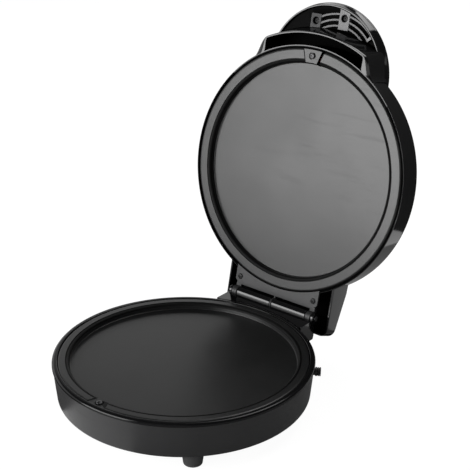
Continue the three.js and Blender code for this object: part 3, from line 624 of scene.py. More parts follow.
def finish(name, tones, roughness, grain, bump, patches=0.06, metal=0.0, shine=0.5, rubbed=True):
    """
    tones: two colours. roughness: lowest and highest. grain: noise scale. bump: depth in metres.
    patches: how much the wipes roughen. shine: specular level. rubbed: whether edges are polished.
    """
    material = bpy.data.materials.new(name)
    material.use_nodes = True
    tree = material.node_tree
    shader = tree.nodes["Principled BSDF"]
    shader.inputs["Metallic"].default_value = metal
    shader.inputs["Specular IOR Level"].default_value = shine
    texture = place_group(tree, grain_group, Scale=grain)
    handling = place_group(tree, handling_group, Patch_Scale=9.0)
    tree.links.new(blend_colours(tree, handling.outputs["Patches"], *tones), shader.inputs["Base Color"])
    low, high = roughness
    marks = math_node(tree, "MULTIPLY", handling.outputs["Patches"], high - low)
    wipes = math_node(tree, "MULTIPLY", handling.outputs["Wipes"], patches)
    rough = math_node(tree, "ADD", math_node(tree, "ADD", marks, wipes), low)
    if rubbed:
        polish = math_node(tree, "MULTIPLY", place_group(tree, edge_group).outputs["Edge"], low / 3)
        rough = math_node(tree, "SUBTRACT", rough, polish, clamp=True)
    tree.links.new(rough, shader.inputs["Roughness"])
    relief = tree.nodes.new("ShaderNodeBump")
    relief.inputs["Strength"].default_value = 1.0
    relief.inputs["Distance"].default_value = bump
    tree.links.new(texture.outputs["Height"], relief.inputs["Height"])
    tree.links.new(relief.outputs["Normal"], shader.inputs["Normal"])
    return material


print("one recipe serves all the finishes")

# %% [markdown]
# The mouldings are the same black plastic in several states. The lid and the hinge block are polished, the
# base is satin with a duller gloss on its lip, and the tongue is matt. Inside the lid's hollows hardly any
# light arrives, so their faces are painted with shade: a deep black with almost no shine. The grip's ribs
# look mid grey in the photograph because they take the light, so their grey is a painted highlight, and its
# left tab is a darker painted shade. A single black for all would lose these steps, so each state is a finish
# of its own.

# %% Plastics
gloss_black = finish("gloss_black_plastic", ((0.0035, 0.0035, 0.0038), (0.005, 0.005, 0.0053)),
                     (0.07, 0.13), 1400, 0.00001)
lip_black = finish("lip_black_plastic", ((0.0035, 0.0035, 0.0038), (0.005, 0.005, 0.0053)),
                   (0.12, 0.18), 1400, 0.00001, shine=0.22)
satin_black = finish("satin_black_plastic", ((0.026, 0.026, 0.0266), (0.033, 0.033, 0.0338)),
                     (0.34, 0.42), 2200, 0.00005, shine=0.3)
# Painted shade: a deep black with almost no shine, for hollows that little light reaches.
painted_shade_black = finish("painted_shade_black_plastic", ((0.001, 0.001, 0.001), (0.0018, 0.0018, 0.0018)),
                     (0.6, 0.7), 1800, 0.00006, shine=0.02)
matte_black = finish("matte_black_plastic", ((0.012, 0.012, 0.0125), (0.018, 0.018, 0.0188)),
                     (0.5, 0.6), 1800, 0.0001)
# Painted highlight: the grip's ribs take the light, so they are given a lighter grey.
rib_highlight_grey = finish("grip_rib_painted_highlight", ((0.085, 0.085, 0.087), (0.11, 0.11, 0.112)),
                  (0.4, 0.5), 1800, 0.00008)
# Painted shade: the grip's left tab lies in the handle's shade, so it gets a darker grey.
left_tab_shade = finish("grip_left_tab_painted_shade", ((0.026, 0.026, 0.027), (0.034, 0.034, 0.035)),
                  (0.45, 0.55), 1800, 0.00008, shine=0.22)
print("plastics:", gloss_black.name, satin_black.name, painted_shade_black.name, rib_highlight_grey.name)

# %% [markdown]
# The non-stick coating is nearly black and half dull, so it mirrors the front panel as a broad grey sheen.
# Its edge mask is left out, because it drew a streak across the flat. On the roundings a second finish is
# darker and almost without shine: painted shade, for the dark ring at the recess's edge.

# %% Coating
plate_coating = finish("non_stick_coating", ((0.006, 0.0062, 0.0062), (0.009, 0.0092, 0.0092)),
                       (0.3, 0.36), 2600, 0.00004, patches=0.04, rubbed=False)
# Painted shade: a darker, nearly shineless coating on the recess's upper rounding and groove.
coating_shade = finish("coating_painted_shade_on_roundings", ((0.003, 0.003, 0.003), (0.0045, 0.0045, 0.0045)),
                    (0.5, 0.6), 2600, 0.00004, shine=0.1)
print("coating:", plate_coating.name, "and", coating_shade.name)

# %% [markdown]
# Metals take their colour as the tint of what they mirror. Screws under the base are bright, and those that
# show are blackened. The heater's sheath is browned by heat, and the reflector under it is plain sheet.

# %% Metals
screw_steel = finish("steel_fastener", ((0.50, 0.50, 0.51), (0.42, 0.42, 0.43)),
                     (0.28, 0.42), 900, 0.00002, metal=1.0)
dark_steel = finish("blackened_fastener", ((0.07, 0.07, 0.072), (0.05, 0.05, 0.052)),
                    (0.34, 0.46), 900, 0.00002, metal=0.9)
black_screw = finish("black_fastener", ((0.012, 0.012, 0.012), (0.02, 0.02, 0.021)),
                     (0.4, 0.5), 900, 0.00002, shine=0.2)
heater_sheath = finish("heater_sheath", ((0.13, 0.12, 0.11), (0.2, 0.18, 0.15)),
                       (0.45, 0.6), 1200, 0.00008, metal=0.8)
reflector_sheet = finish("reflector_sheet", ((0.62, 0.63, 0.64), (0.52, 0.53, 0.54)),
                         (0.3, 0.45), 700, 0.00004, metal=1.0)
print("metals:", screw_steel.name, dark_steel.name, heater_sheath.name, reflector_sheet.name)

# %% [markdown]
# Rubber is dull, ceramic is warm white and slightly rough, and the two lamp lenses are smooth tinted plastic.
# The lenses could be clear glass over a lamp, but unlit ones look opaque, so a gloss colour does it.

# %% Rubber, ceramic and lenses
foot_rubber = finish("foot_rubber", ((0.052, 0.052, 0.053), (0.06, 0.06, 0.061)),
                     (0.55, 0.7), 2000, 0.00012)
gland_rubber = finish("gland_rubber", ((0.01, 0.01, 0.0105), (0.015, 0.015, 0.0156)),
                      (0.5, 0.62), 1700, 0.0001)
ceramic_white = finish("ceramic_white", ((0.74, 0.70, 0.61), (0.66, 0.62, 0.53)),
                       (0.4, 0.55), 1500, 0.00006)
red_lens = finish("red_lens", ((0.42, 0.012, 0.008), (0.36, 0.01, 0.007)), (0.1, 0.16), 1200, 0.00001)
green_lens = finish("green_lens", ((0.012, 0.26, 0.05), (0.01, 0.21, 0.04)), (0.1, 0.16), 1200, 0.00001)
print("rubber, ceramic and lenses:", foot_rubber.name, gland_rubber.name, ceramic_white.name, red_lens.name)

# %% [markdown]
# The pieces sealed inside the body are never seen from outside, and the CAD solids are fine for them. They
# stay as they are and only get a finish: steel-sheathed heating elements, bright reflector pans under them,
# ceramic thermostats and the blocks that join the wires.

# %% Finishes on the inner pieces that stay
INNER_FINISHES = {
    "lower_heating_element": heater_sheath,
    "upper_heating_element": heater_sheath,
    "lower_reflector_pan": reflector_sheet,
    "upper_reflector_pan": reflector_sheet,
    "lower_thermostat": ceramic_white,
    "upper_thermostat": ceramic_white,
    "thermal_fuse": screw_steel,
    "terminal_block": ceramic_white,
}


def dress(node, material):
    cad = frame["nodes"][node]
    cad.data.materials.clear()
    cad.data.materials.append(material)


for node, material in INNER_FINISHES.items():
    dress(node, material)
print("dressed:", ", ".join(INNER_FINISHES))

# %% [markdown]
# ## Base
# The base is a shallow black bowl with a proud lip round its rim. Its side leans out a little, so the bottom
# edge is smaller than the rim. One section gives all of it. The small step under the lip is worth its
# points: it throws the dark line that separates rim and side. The hole for the cord gland is bored last.

# %% Base shell
BASE_BOTTOM = 20
BASE_RIM_TOP = 71.7
BASE_RIM_RADIUS = 174.5
BASE_FOOT_RADIUS = 169.4
BASE_FOOT_ROUNDING = 4
BASE_OPENING_RADIUS = BASE_FOOT_RADIUS - 9
SIDE_TOP_RADIUS = 173.5
LIP_DEPTH = 5.5
LIP_LOW = BASE_RIM_TOP - LIP_DEPTH
LIP_ROUNDING = 3.6
LIP_INNER_ROUNDING = 1.2
LIP_EASE = 0.6
PLATE_ROOM = 167.3
LEDGE_TOP = 64.9
LEDGE_WIDTH = 4
WALL = 2.5
GLAND_TURN = math.radians(122)
GLAND_HEIGHT = 58.4
GLAND_REACH = 171
GLAND_HOLE = 5.3


def gland_form(section):
    """Spin a section round the line of the cord gland: heights run outwards from the wall's inside."""
    x, y = polar(GLAND_REACH, GLAND_TURN)
    outwards = Matrix.Rotation(GLAND_TURN - math.pi, 4, "Z") @ Matrix.Rotation(-math.pi / 2, 4, "X")
    return moved(turned(section, ROUND_STEPS), Matrix.Translation((x, y, GLAND_HEIGHT)) @ outwards)


def base_shell():
    foot, lip, inner = BASE_FOOT_ROUNDING, LIP_ROUNDING, LIP_INNER_ROUNDING
    section = [
        (BASE_OPENING_RADIUS, BASE_BOTTOM),
        *arc(BASE_FOOT_RADIUS - foot, BASE_BOTTOM + foot, foot, -90, -6, 8),
        (SIDE_TOP_RADIUS, LIP_LOW),
        *arc(BASE_RIM_RADIUS - LIP_EASE, LIP_LOW + 1.5 * LIP_EASE, LIP_EASE, -80, 0, 4),
        *arc(BASE_RIM_RADIUS - lip, BASE_RIM_TOP - lip, lip, 0, 90, 14),
        *arc(PLATE_ROOM + inner, BASE_RIM_TOP - inner, inner, 90, 180, 6),
        (PLATE_ROOM, LEDGE_TOP),
        (PLATE_ROOM - LEDGE_WIDTH, LEDGE_TOP),
        (PLATE_ROOM - LEDGE_WIDTH, LEDGE_TOP - WALL),
        (SIDE_TOP_RADIUS - WALL, LEDGE_TOP - WALL),
        (BASE_FOOT_RADIUS - WALL, BASE_BOTTOM + foot),
        (BASE_FOOT_RADIUS - WALL, BASE_BOTTOM + WALL),
        (BASE_OPENING_RADIUS, BASE_BOTTOM + WALL),
    ]
    return cut(turned(section), gland_form(post(GLAND_HOLE, -8, 8)))


def on_lip(middle):
    return middle.z > LIP_LOW


add_piece("base_moulding", base_shell(), "base", satin_black, "base_shell",
          accents=[(lip_black, on_lip)])

# %% [markdown]
# The bottom cover closes the shell from below. It carries rows of vent slots for the heat and four holes for
# the screws of the feet. Nobody sees it on the table, but the part is looked at from all sides, so its slots
# are real holes and not a picture of them.

# %% Bottom cover
COVER_RADIUS = 160.1
COVER_TOP = 25.1
COVER_EASE = 0.8
COVER_FLANGE = 3
FOOT_REACH = 149
FOOT_TURNS = {"front_left": -45, "front_right": 45, "rear_left": -159, "rear_right": 159}
FOOT_HOLE = 3.1
VENT_ROWS = (84, -84)
VENT_COUNT = 6
VENT_SPACING = 9
VENT_LENGTH = 34
VENT_WIDTH = 3


def foot_place(side):
    return polar(FOOT_REACH, math.radians(FOOT_TURNS[side]))


def vent_slot(x, y):
    """A slot with round ends."""
    radius = VENT_WIDTH / 2
    reach = (VENT_LENGTH - VENT_WIDTH) / 2
    outline = []
    for middle, start in ((reach, 0), (-reach, 180)):
        outline += [(x + px, y + py) for px, py in arc(0, middle, radius, start, start + 180, 8)]
    return slab(outline, BASE_BOTTOM - 3, COVER_TOP + 3)


def bottom_cover():
    flange = BASE_BOTTOM + WALL + 0.3
    cover = turned([
        (0, BASE_BOTTOM),
        *arc(COVER_RADIUS - COVER_EASE, BASE_BOTTOM + COVER_EASE, COVER_EASE, -90, 0, 4),
        (COVER_RADIUS, flange),
        (COVER_RADIUS + COVER_FLANGE, flange),
        (COVER_RADIUS + COVER_FLANGE, COVER_TOP),
        (0, COVER_TOP),
    ])
    first = -(VENT_COUNT - 1) / 2
    slots = [vent_slot((first + i) * VENT_SPACING, row) for row in VENT_ROWS for i in range(VENT_COUNT)]
    bore = post(FOOT_HOLE, 0, 2 * BASE_BOTTOM)
    holes = [turned(bore, ROUND_STEPS, *foot_place(side)) for side in FOOT_TURNS]
    return cut(cover, *slots, *holes)


add_piece("bottom_moulding", bottom_cover(), "base", satin_black, "bottom_cover")

# %% [markdown]
# A cross screw is a turned shank with a domed head. Its recess is two crossed wedges, cut one after the
# other. Threads would never show here, so the shank stays plain.

# %% Screws
HEAD_STEPS = 7
SCREW_STEPS = 40


def cross_screw(shank, head, height, length):
    """A screw on the origin, with its seat at height zero and its head above."""
    dome = [(0, -length), (shank * 0.4, -length), (shank, -length + shank), (shank, 0)]
    dome += [(head - 0.2, 0), (head, 0.2), (head, height * 0.4)]
    for i in range(1, HEAD_STEPS):
        turn = i / HEAD_STEPS * math.pi / 2
        dome.append((head * math.cos(turn), height * (0.4 + 0.6 * math.sin(turn))))
    dome.append((0, height))
    screw = turned(dome, SCREW_STEPS)
    floor = height * 0.25
    for turn in (0, math.pi / 2):
        rings = []
        for z, arm, half in ((floor, head * 0.3, head * 0.05), (height + 0.5, head * 0.56, head * 0.12)):
            rings.append([(-arm, -half, z), (arm, -half, z), (arm, half, z), (-arm, half, z)])
        screw = cut(screw, moved(loft(rings), Matrix.Rotation(turn, 4, "Z")))
    return screw


def screw_at(x, y, seat, shank=2.0, head=4.0, height=1.6, length=10.0, upwards=True, twist=0.4):
    """Put a screw in place. One that is driven from below has its head under the seat."""
    pose = Matrix.Translation((x, y, seat)) @ Matrix.Rotation(twist, 4, "Z")
    if not upwards:
        pose = pose @ Matrix.Rotation(math.pi, 4, "X")
    return moved(cross_screw(shank, head, height, length), pose)


print("a screw's head has", HEAD_STEPS, "steps from rim to crown")

# %% [markdown]
# The feet are short tapered cups with a rounded tip. The screw sits deep in the foot, so it never scratches
# the table. The rear feet stand further back than the front ones, under the open lid's weight.

# %% Feet
FOOT_SHOULDER = 8
FOOT_TOP = 19.7
FOOT_TOP_RADIUS = 14.5
FOOT_TIP_RADIUS = 12.3
FOOT_TIP_ROUNDING = 2
FOOT_EASE = 0.8
FOOT_BORE = 6.5
FOOT_BORE_EASE = 0.5
FOOT_STEPS = 72


def foot(side):
    x, y = foot_place(side)
    tip, ease, bore = FOOT_TIP_ROUNDING, FOOT_EASE, FOOT_BORE_EASE
    section = [
        *arc(FOOT_BORE + bore, bore, bore, 180, 270, 3),
        *arc(FOOT_TIP_RADIUS - tip, tip, tip, -90, -8, 8),
        *arc(FOOT_TOP_RADIUS - ease, FOOT_TOP - ease, ease, 0, 90, 4),
        (FOOT_HOLE, FOOT_TOP),
        (FOOT_HOLE, FOOT_SHOULDER),
        (FOOT_BORE, FOOT_SHOULDER),
    ]
    return turned(section, FOOT_STEPS, x, y)


for number, side in enumerate(FOOT_TURNS):
    x, y = foot_place(side)
    add_piece(f"{side}_rubber_foot", foot(side), "base", foot_rubber, f"{side}_foot")
    screw = screw_at(x, y, FOOT_SHOULDER - 0.3, shank=2.8, head=5.5, height=2.5, length=22,
                     upwards=False, twist=0.3 + number)
    add_piece(f"{side}_foot_fastener", screw, "base", screw_steel, f"{side}_foot_screw")

# %% [markdown]
# ## Cooking plates
# Both plates are cast aluminium with a non-stick coating: a round recess, a flat border and an edge that
# turns down. The recess's wall leans out a little, as a casting does to leave its mould. Its upper rounding
# gets painted shade, darker and duller, and a fine groove runs outside it: together they draw the dark ring
# where the recess starts.

# %% Plate section
PAN_RADIUS = 151.2
PAN_DEPTH = 8.5
PAN_DRAFT = 0.6
PAN_ROUNDING = 4
PAN_FLOOR_ROUNDING = 0.8
GROOVE_START = 0.2
GROOVE_END = 1.8
GROOVE_DEPTH = 0.9
PLATE_UNDERSIDE = -12.6
PLATE_WALL = 2.6
EDGE_DROP = 6


def plate(radius, edge):
    """A plate with its border at height zero and its recess below it."""
    floor = -PAN_DEPTH
    foot_radius = PAN_RADIUS - PAN_DRAFT
    lip, low = PAN_ROUNDING, PAN_FLOOR_ROUNDING
    section = [
        (0, PLATE_UNDERSIDE),
        (foot_radius, PLATE_UNDERSIDE),
        (PAN_RADIUS + PLATE_WALL, floor + PAN_DRAFT),
        (PAN_RADIUS + PLATE_WALL, -PLATE_WALL),
        (radius - PLATE_WALL, -PLATE_WALL),
        (radius - PLATE_WALL, -EDGE_DROP),
        (radius, -EDGE_DROP),
        *arc(radius - edge, -edge, edge, 0, 90, 10),
        (PAN_RADIUS + lip + GROOVE_END, 0),
        (PAN_RADIUS + lip + GROOVE_END - 0.4, -GROOVE_DEPTH),
        (PAN_RADIUS + lip + GROOVE_START, -GROOVE_DEPTH),
        *arc(PAN_RADIUS + lip, -lip, lip, 100, 172, 10),
        *arc(foot_radius - 0.6, floor + low, low, -8, -90, 6),
        (0, floor),
    ]
    return turned(section)


print("recess, mm across and deep:", 2 * PAN_RADIUS, PAN_DEPTH)

# %% [markdown]
# At the front each border has a small sunk tab with the screw that holds the plate. The tab widens outwards
# and its sides slope, so it is cut with a loft of two outlines. The screw's head stands in a round groove.
# Beside the upper tab the photograph shows a dark gap, which is a slit right through the plate.

# %% The two plates
LOWER_PLATE_RADIUS = 167
UPPER_PLATE_RADIUS = 171.8
LOWER_PLATE_EDGE = 2.4
UPPER_PLATE_EDGE = 4
LOWER_PLATE_TOP = 71.2
LID_RIM_Z = 74
SCREW_REACH = {LOWER_PLATE_RADIUS: 159.75, UPPER_PLATE_RADIUS: 162.15}
SCREW_HOLE = 2.3
SCREW_GROOVE = (4.3, 5.6)
SCREW_GROOVE_DEPTH = 2.2
TAB_DEPTH = 1
TAB_INNER_HALF = 8
TAB_OUTER_HALF = 16.5
SLIT_INNER = (7.6, 12.4)
SLIT_OUTER = (16.6, 22.0)
BELOW_PLATE = -20
ABOVE_PLATE = 5


def plate_tab(radius):
    """The sunk tab: narrow at the recess, wide at the edge, with sloped sides."""
    near, far = -PAN_RADIUS + 3, -(radius + 3)
    rings = []
    for z, grow in ((-TAB_DEPTH, 0), (0.2, 1.0)):
        inner, outer = TAB_INNER_HALF + grow, TAB_OUTER_HALF + grow
        rings.append([(-inner, near, z), (-outer, far, z), (outer, far, z), (inner, near, z)])
    bore = post(SCREW_HOLE, BELOW_PLATE, ABOVE_PLATE)
    return loft(rings), turned(bore, ROUND_STEPS, y=-SCREW_REACH[radius])


def side_slit(radius):
    """The gap beside the upper plate's tab, on the side that ends up at the right."""
    near, far = -PAN_RADIUS + 2, -radius - 3
    outline = [(-SLIT_INNER[0], near), (-SLIT_OUTER[0], far), (-SLIT_OUTER[1], far), (-SLIT_INNER[1], near)]
    return slab(outline, BELOW_PLATE, ABOVE_PLATE)


def screw_groove(radius):
    """A round groove in the tab, just outside the screw's head."""
    low = -SCREW_GROOVE_DEPTH
    inner, outer = SCREW_GROOVE
    section = [(inner, low), (outer, low), (outer, ABOVE_PLATE), (inner, ABOVE_PLATE)]
    return turned(section, ROUND_STEPS, y=-SCREW_REACH[radius])


def finished_plate(radius, edge, *tools):
    return cut(plate(radius, edge), *plate_tab(radius), screw_groove(radius), *tools)


def on_roundings(height, downwards=1):
    """The recess's upper rounding and the fine groove outside it, for a border at this height: they get
    painted shade.
    """
    def test(middle):
        reach = math.hypot(middle.x, middle.y) - PAN_RADIUS
        depth = (height - middle.z) * downwards
        return -0.3 < reach < PAN_ROUNDING + GROOVE_END - 0.05 and 0.02 < depth < PAN_ROUNDING
    return test


up = Matrix.Translation((0, 0, LOWER_PLATE_TOP))
turned_over = Matrix.Translation((0, 0, LID_RIM_Z)) @ Matrix.Rotation(math.pi, 4, "Y")
slit = side_slit(UPPER_PLATE_RADIUS)
lower = moved(finished_plate(LOWER_PLATE_RADIUS, LOWER_PLATE_EDGE), up)
upper = moved(finished_plate(UPPER_PLATE_RADIUS, UPPER_PLATE_EDGE, slit), turned_over)
# The plates' roundings and grooves wear the painted shade of the recess's edge.
add_piece("lower_cooking_plate", lower, "base", plate_coating, "lower_plate",
          accents=[(coating_shade, on_roundings(LOWER_PLATE_TOP))])
add_piece("upper_cooking_plate", upper, "lid", plate_coating, "upper_plate",
          accents=[(coating_shade, on_roundings(LID_RIM_Z, -1))])
lower_screw = screw_at(0, -SCREW_REACH[LOWER_PLATE_RADIUS], LOWER_PLATE_TOP - 0.7)
upper_screw = screw_at(0, -SCREW_REACH[UPPER_PLATE_RADIUS], LID_RIM_Z + 0.7, upwards=False)
add_piece("lower_plate_fastener", lower_screw, "base", dark_steel, "lower_plate_screw")
add_piece("upper_plate_fastener", upper_screw, "lid", dark_steel, "upper_plate_screw")

# %% [markdown]
# ## Cord gland
# The mains lead leaves through a rubber gland in the right rear of the wall. It is a spool: a collar outside,
# a neck through the wall and a collar inside. Grooves round the sleeve let it bend with the lead.

# %% Cord gland
GLAND_BORE = 3.6
GLAND_NECK = 5
GLAND_COLLAR = 6
GLAND_INNER_END = -6.7
GLAND_OUTER_END = 11
NECK_START = -2.5
NECK_END = 3.7
GLAND_GROOVES = (6.0, 8.2)
GLAND_GROOVE_RADIUS = 5.2


def cord_gland():
    collar, neck, groove = GLAND_COLLAR, GLAND_NECK, GLAND_GROOVE_RADIUS
    start, end = GLAND_INNER_END, GLAND_OUTER_END
    section = [(GLAND_BORE, start), *arc(collar - 0.5, start + 0.5, 0.5, -90, 0, 3)]
    section += [(collar, NECK_START), (neck, NECK_START), (neck, NECK_END), (collar, NECK_END)]
    for low in GLAND_GROOVES:
        section += [(collar, low), (groove, low + 0.4), (groove, low + 1.0), (collar, low + 1.4)]
    section += [*arc(collar - 0.8, end - 0.8, 0.8, 0, 90, 4), (GLAND_BORE, end)]
    return gland_form(section)


add_piece("rubber_cord_gland", cord_gland(), "base", gland_rubber, "cord_gland")

# %% [markdown]
# ## Hinge
# A moulded block on the back of the base ends in two long round barrels with a steel pin through them. The
# lid's tongue brings three lugs to the same pin. The block's outline has rounded corners at the back, and the
# barrels stand a little above its deck, so they catch one long highlight.

# %% Hinge block
BARREL_RADIUS = 7.5
BARREL_END = 61
LUG_RADIUS = 8
LUG_WIDTH = 8.4
LUG_GAP = 0.6
LUG_START = 61.6
LUG_END = LUG_START + LUG_WIDTH
CHEEK_START = LUG_END + LUG_GAP
BLOCK_HALF = CHEEK_START + 4.4
BLOCK_HEIGHT = 30
BLOCK_BEHIND_PIN = 2
BLOCK_CORNER = 7
BLOCK_CHAMFER = 14
MIDDLE_LUG_HALF = 1.3
DECK_Z = 71.1
PIN_RADIUS = 2.5
PIN_HOLE = 2.8
PLAY = 0.3


def rounded_rear(half, start, end, rounding, steps=12):
    """Outline with square front corners and round rear ones, seen from above."""
    outline = [(-half, start), (half, start)]
    for side, first in ((1, 0), (-1, 90)):
        for i in range(steps + 1):
            turn = math.radians(first + 90 * i / steps)
            x = side * (half - rounding) + rounding * math.cos(turn)
            outline.append((x, end - rounding + rounding * math.sin(turn)))
    return outline


def hinge_block():
    back = hinge_y + BLOCK_BEHIND_PIN
    low = DECK_Z - BLOCK_HEIGHT
    front = BASE_OPENING_RADIUS
    slope = [(front, low), (back - BLOCK_CHAMFER, low), (back - BLOCK_CORNER, low)]
    slope += [(back, low + BLOCK_CHAMFER), (back, DECK_Z), (front, DECK_Z)]
    body = sideways(slope, -BLOCK_HALF, BLOCK_HALF)
    outline = rounded_rear(BLOCK_HALF, BASE_OPENING_RADIUS - 9, back, BLOCK_CORNER)
    body = eased(shared_by(body, slab(outline, low - 3, DECK_Z + 3)), 1.2, segments=4, angle=30)
    body = cut(body, turned(post(BASE_RIM_RADIUS + PLAY, low - 6, DECK_Z + 6)))
    inner_lug = MIDDLE_LUG_HALF + PLAY
    for side in (1, -1):
        for start, end in ((inner_lug, BARREL_END), (CHEEK_START, BLOCK_HALF)):
            start, end = sorted((side * start, side * end))
            body = joined(body, hinge_bar(BARREL_RADIUS, start, end, ease=0.9))
    room_start, room_end = LUG_START - PLAY, LUG_END + PLAY
    gaps = [(-inner_lug, inner_lug), (room_start, room_end), (-room_end, -room_start)]
    tools = [hinge_bar(LUG_RADIUS + 0.9, start, end, SHARP) for start, end in gaps]
    tools.append(hinge_bar(PIN_HOLE, -BLOCK_HALF - 3, BLOCK_HALF + 3, SHARP))
    return cut(body, *tools)


add_piece("hinge_moulding", hinge_block(), "base", gloss_black, "hinge_block")

# %% [markdown]
# The pin is a plain steel bar from cheek to cheek with a low round head at each end, as a riveted pin has.
# Both heads overlap the bar by a hair, so that the join is one closed body.

# %% Hinge pin
PIN_HEAD_RADIUS = 4
PIN_HEAD_HEIGHT = 1.6


def hinge_pin():
    reach = BLOCK_HALF + PLAY
    heads = []
    for side in (1, -1):
        start, end = sorted((side * (reach - 0.01), side * (reach + PIN_HEAD_HEIGHT)))
        heads.append(hinge_bar(PIN_HEAD_RADIUS, start, end, ease=0.7))
    return joined(hinge_bar(PIN_RADIUS, -reach, reach), *heads)


add_piece("steel_hinge_pin", hinge_pin(), "base", dark_steel, "hinge_pin")

# %% [markdown]
# ## Lid
# The lid is the hardest form: one moulding with a domed top, a flared half-round handle that is open below,
# a crescent pocket that fades into the round side, and a hollow tail round the hinge. It could be sculpted as
# one subdivision cage, but then its circles would only be nearly round. Turned forms and lofts, joined and
# hollowed, keep every circle true, and their sections hold the roundings.

# %% Lid: dome
LID_RIM_INNER = 172.3
LID_RIM_RADIUS = 175.29
RIM_EASE = 0.6
RIM_INNER_ROUNDING = 2.2
SHOULDER_RADIUS = 174.3
SHOULDER_Z = 107.5
SHOULDER_ROUNDING = 12
LID_TOP = 124.5
DOME_STEPS = 14
DOME_START = 166.4
DOME_START_Z = SHOULDER_Z + 11.28
DOME_DROP = 3.2


def dome_line(drop):
    """The top of the lid from its shoulder to its middle, as one soft curve."""
    line = []
    for i in range(1, DOME_STEPS + 1):
        radius = DOME_START * (1 - i / DOME_STEPS)
        rise = 1 - (radius / DOME_START) ** 2.6
        line.append((radius, DOME_START_Z + (LID_TOP - DOME_START_Z) * rise ** 0.55 - drop))
    line[-1] = (0, LID_TOP - drop)
    return line


def dome():
    return turned([
        (0, LID_RIM_Z),
        *arc(LID_RIM_RADIUS - RIM_EASE, LID_RIM_Z + RIM_EASE, RIM_EASE, -90, 0, 6),
        *arc(SHOULDER_RADIUS - SHOULDER_ROUNDING, SHOULDER_Z, SHOULDER_ROUNDING, 0, 70, 14),
        *dome_line(0),
    ])


def dome_room():
    """The hollow of the dome, with the rounding inside the rim."""
    inner = SHOULDER_ROUNDING - WALL
    mouth = LID_RIM_INNER + RIM_INNER_ROUNDING
    return turned([
        (0, LID_RIM_Z - 3),
        (mouth, LID_RIM_Z - 3),
        (mouth, LID_RIM_Z),
        *arc(mouth, LID_RIM_Z + RIM_INNER_ROUNDING, RIM_INNER_ROUNDING, -90, -180, 9),
        (LID_RIM_INNER, SHOULDER_Z - WALL),
        *arc(SHOULDER_RADIUS - SHOULDER_ROUNDING, SHOULDER_Z - WALL / 2, inner, 10, 70, 6),
        *dome_line(DOME_DROP),
    ])


print("lid rim, mm across:", 2 * LID_RIM_RADIUS)

# %% [markdown]
# The pocket at the front of the lid is a crescent that stands out from the round side and leans further out
# as it rises. Seen from below its outline is a plateau that fades into the circle at both ends, so a formula
# draws each ring, and the rings are lofted. Near the rim the form starts thin and swells quickly.

# %% Lid: pocket
HANDLE_TOP = 122.18
POCKET_REACH = 19.2
POCKET_LEAN = 5.6
POCKET_HEIGHT = 31
POCKET_FLAT = 24.5
POCKET_FADE = 35.0
POCKET_INNER_FADE = 28.0
POCKET_STEPS = 110
POCKET_SWELL = 4.0
SWELL_STEPS = 8


def smooth(value, low, high):
    share = min(max((value - low) / (high - low), 0), 1)
    return share * share * (3 - 2 * share)


def pocket_reach(z):
    """How far the pocket's wall stands out beyond the rim at this height."""
    return POCKET_REACH + POCKET_LEAN * (z - LID_RIM_Z) / POCKET_HEIGHT


def pocket_ring(z, thinner, fade, inner):
    """Crescent outline of the pocket at this height. Angles are in degrees."""
    plateau = pocket_reach(z) - thinner
    outer_side, inner_side = [], []
    for i in range(POCKET_STEPS + 1):
        turn = fade * (2 * i / POCKET_STEPS - 1)
        share = 1 - smooth(abs(turn), POCKET_FLAT, fade)
        x, y = polar(LID_RIM_RADIUS + plateau * share, math.radians(turn))
        outer_side.append((x, y, z))
        x, y = polar(inner, math.radians(turn))
        inner_side.append((x, y, z))
    return outer_side + inner_side[::-1]


def pocket():
    """The crescent's outer form. Its rim is a thin line that swells quickly to the full thickness."""
    rings = []
    inner = LID_RIM_INNER + 2.4
    thin_fade = POCKET_INNER_FADE + 1.5
    for i in range(SWELL_STEPS + 1):
        turn = i / SWELL_STEPS * math.pi / 2
        share = math.sin(turn)
        fade = thin_fade + (POCKET_FADE - thin_fade) * share
        z = LID_RIM_Z + POCKET_SWELL * (1 - math.cos(turn))
        rings.append(pocket_ring(z, 1 - share, fade, inner))
    rings.append(pocket_ring(HANDLE_TOP - WALL, 0, POCKET_FADE, inner))
    return loft(rings)


def pocket_room():
    """The pocket's hollow, as pairs of a height and the wall left there: the wall is thinner at the rim."""
    walls = [(LID_RIM_Z - 3, 2.3), (LID_RIM_Z, 2.3), (LID_RIM_Z + 0.2, 2.6), (LID_RIM_Z + 0.6, 2.8)]
    walls.append((HANDLE_TOP - WALL, 2.8))
    return loft([pocket_ring(z, wall, POCKET_INNER_FADE, LID_RIM_RADIUS) for z, wall in walls])


print("pocket stands out, mm, below and above:", pocket_reach(LID_RIM_Z), round(pocket_reach(HANDLE_TOP), 1))

# %% [markdown]
# The handle is a round form that stands out beyond the pocket. Its band flares outwards as it rises, and its
# circle also creeps back a little, then it turns over into the top. A plain spin can't do that, so the
# handle is a loft of circles. Below it is open, so that fingers reach in from the front.

# %% Lid: handle
HANDLE_Y = -135.5
HANDLE_RADIUS = 100.8
HANDLE_EDGE = 93.5
HANDLE_EDGE_Y = -140
HANDLE_EDGE_Z = 105
HANDLE_FLARE_Z = 118.18
HANDLE_ROUNDING = 4
HANDLE_WALL = 2.4
BAND_STEPS = 12
BAND_SHARE = 0.904
ROUNDING_START = -35


def handle_ring(z, share, inset=0.0):
    """One circle of the handle: share 0 is its lower edge and share 1 its widest line."""
    radius = HANDLE_EDGE + (HANDLE_RADIUS - HANDLE_EDGE) * share - inset
    middle = HANDLE_EDGE_Y + (HANDLE_Y - HANDLE_EDGE_Y) * share
    circle = [polar(radius, 2 * math.pi * i / RING_STEPS) for i in range(RING_STEPS)]
    return [(x, y + middle, z) for x, y in circle]


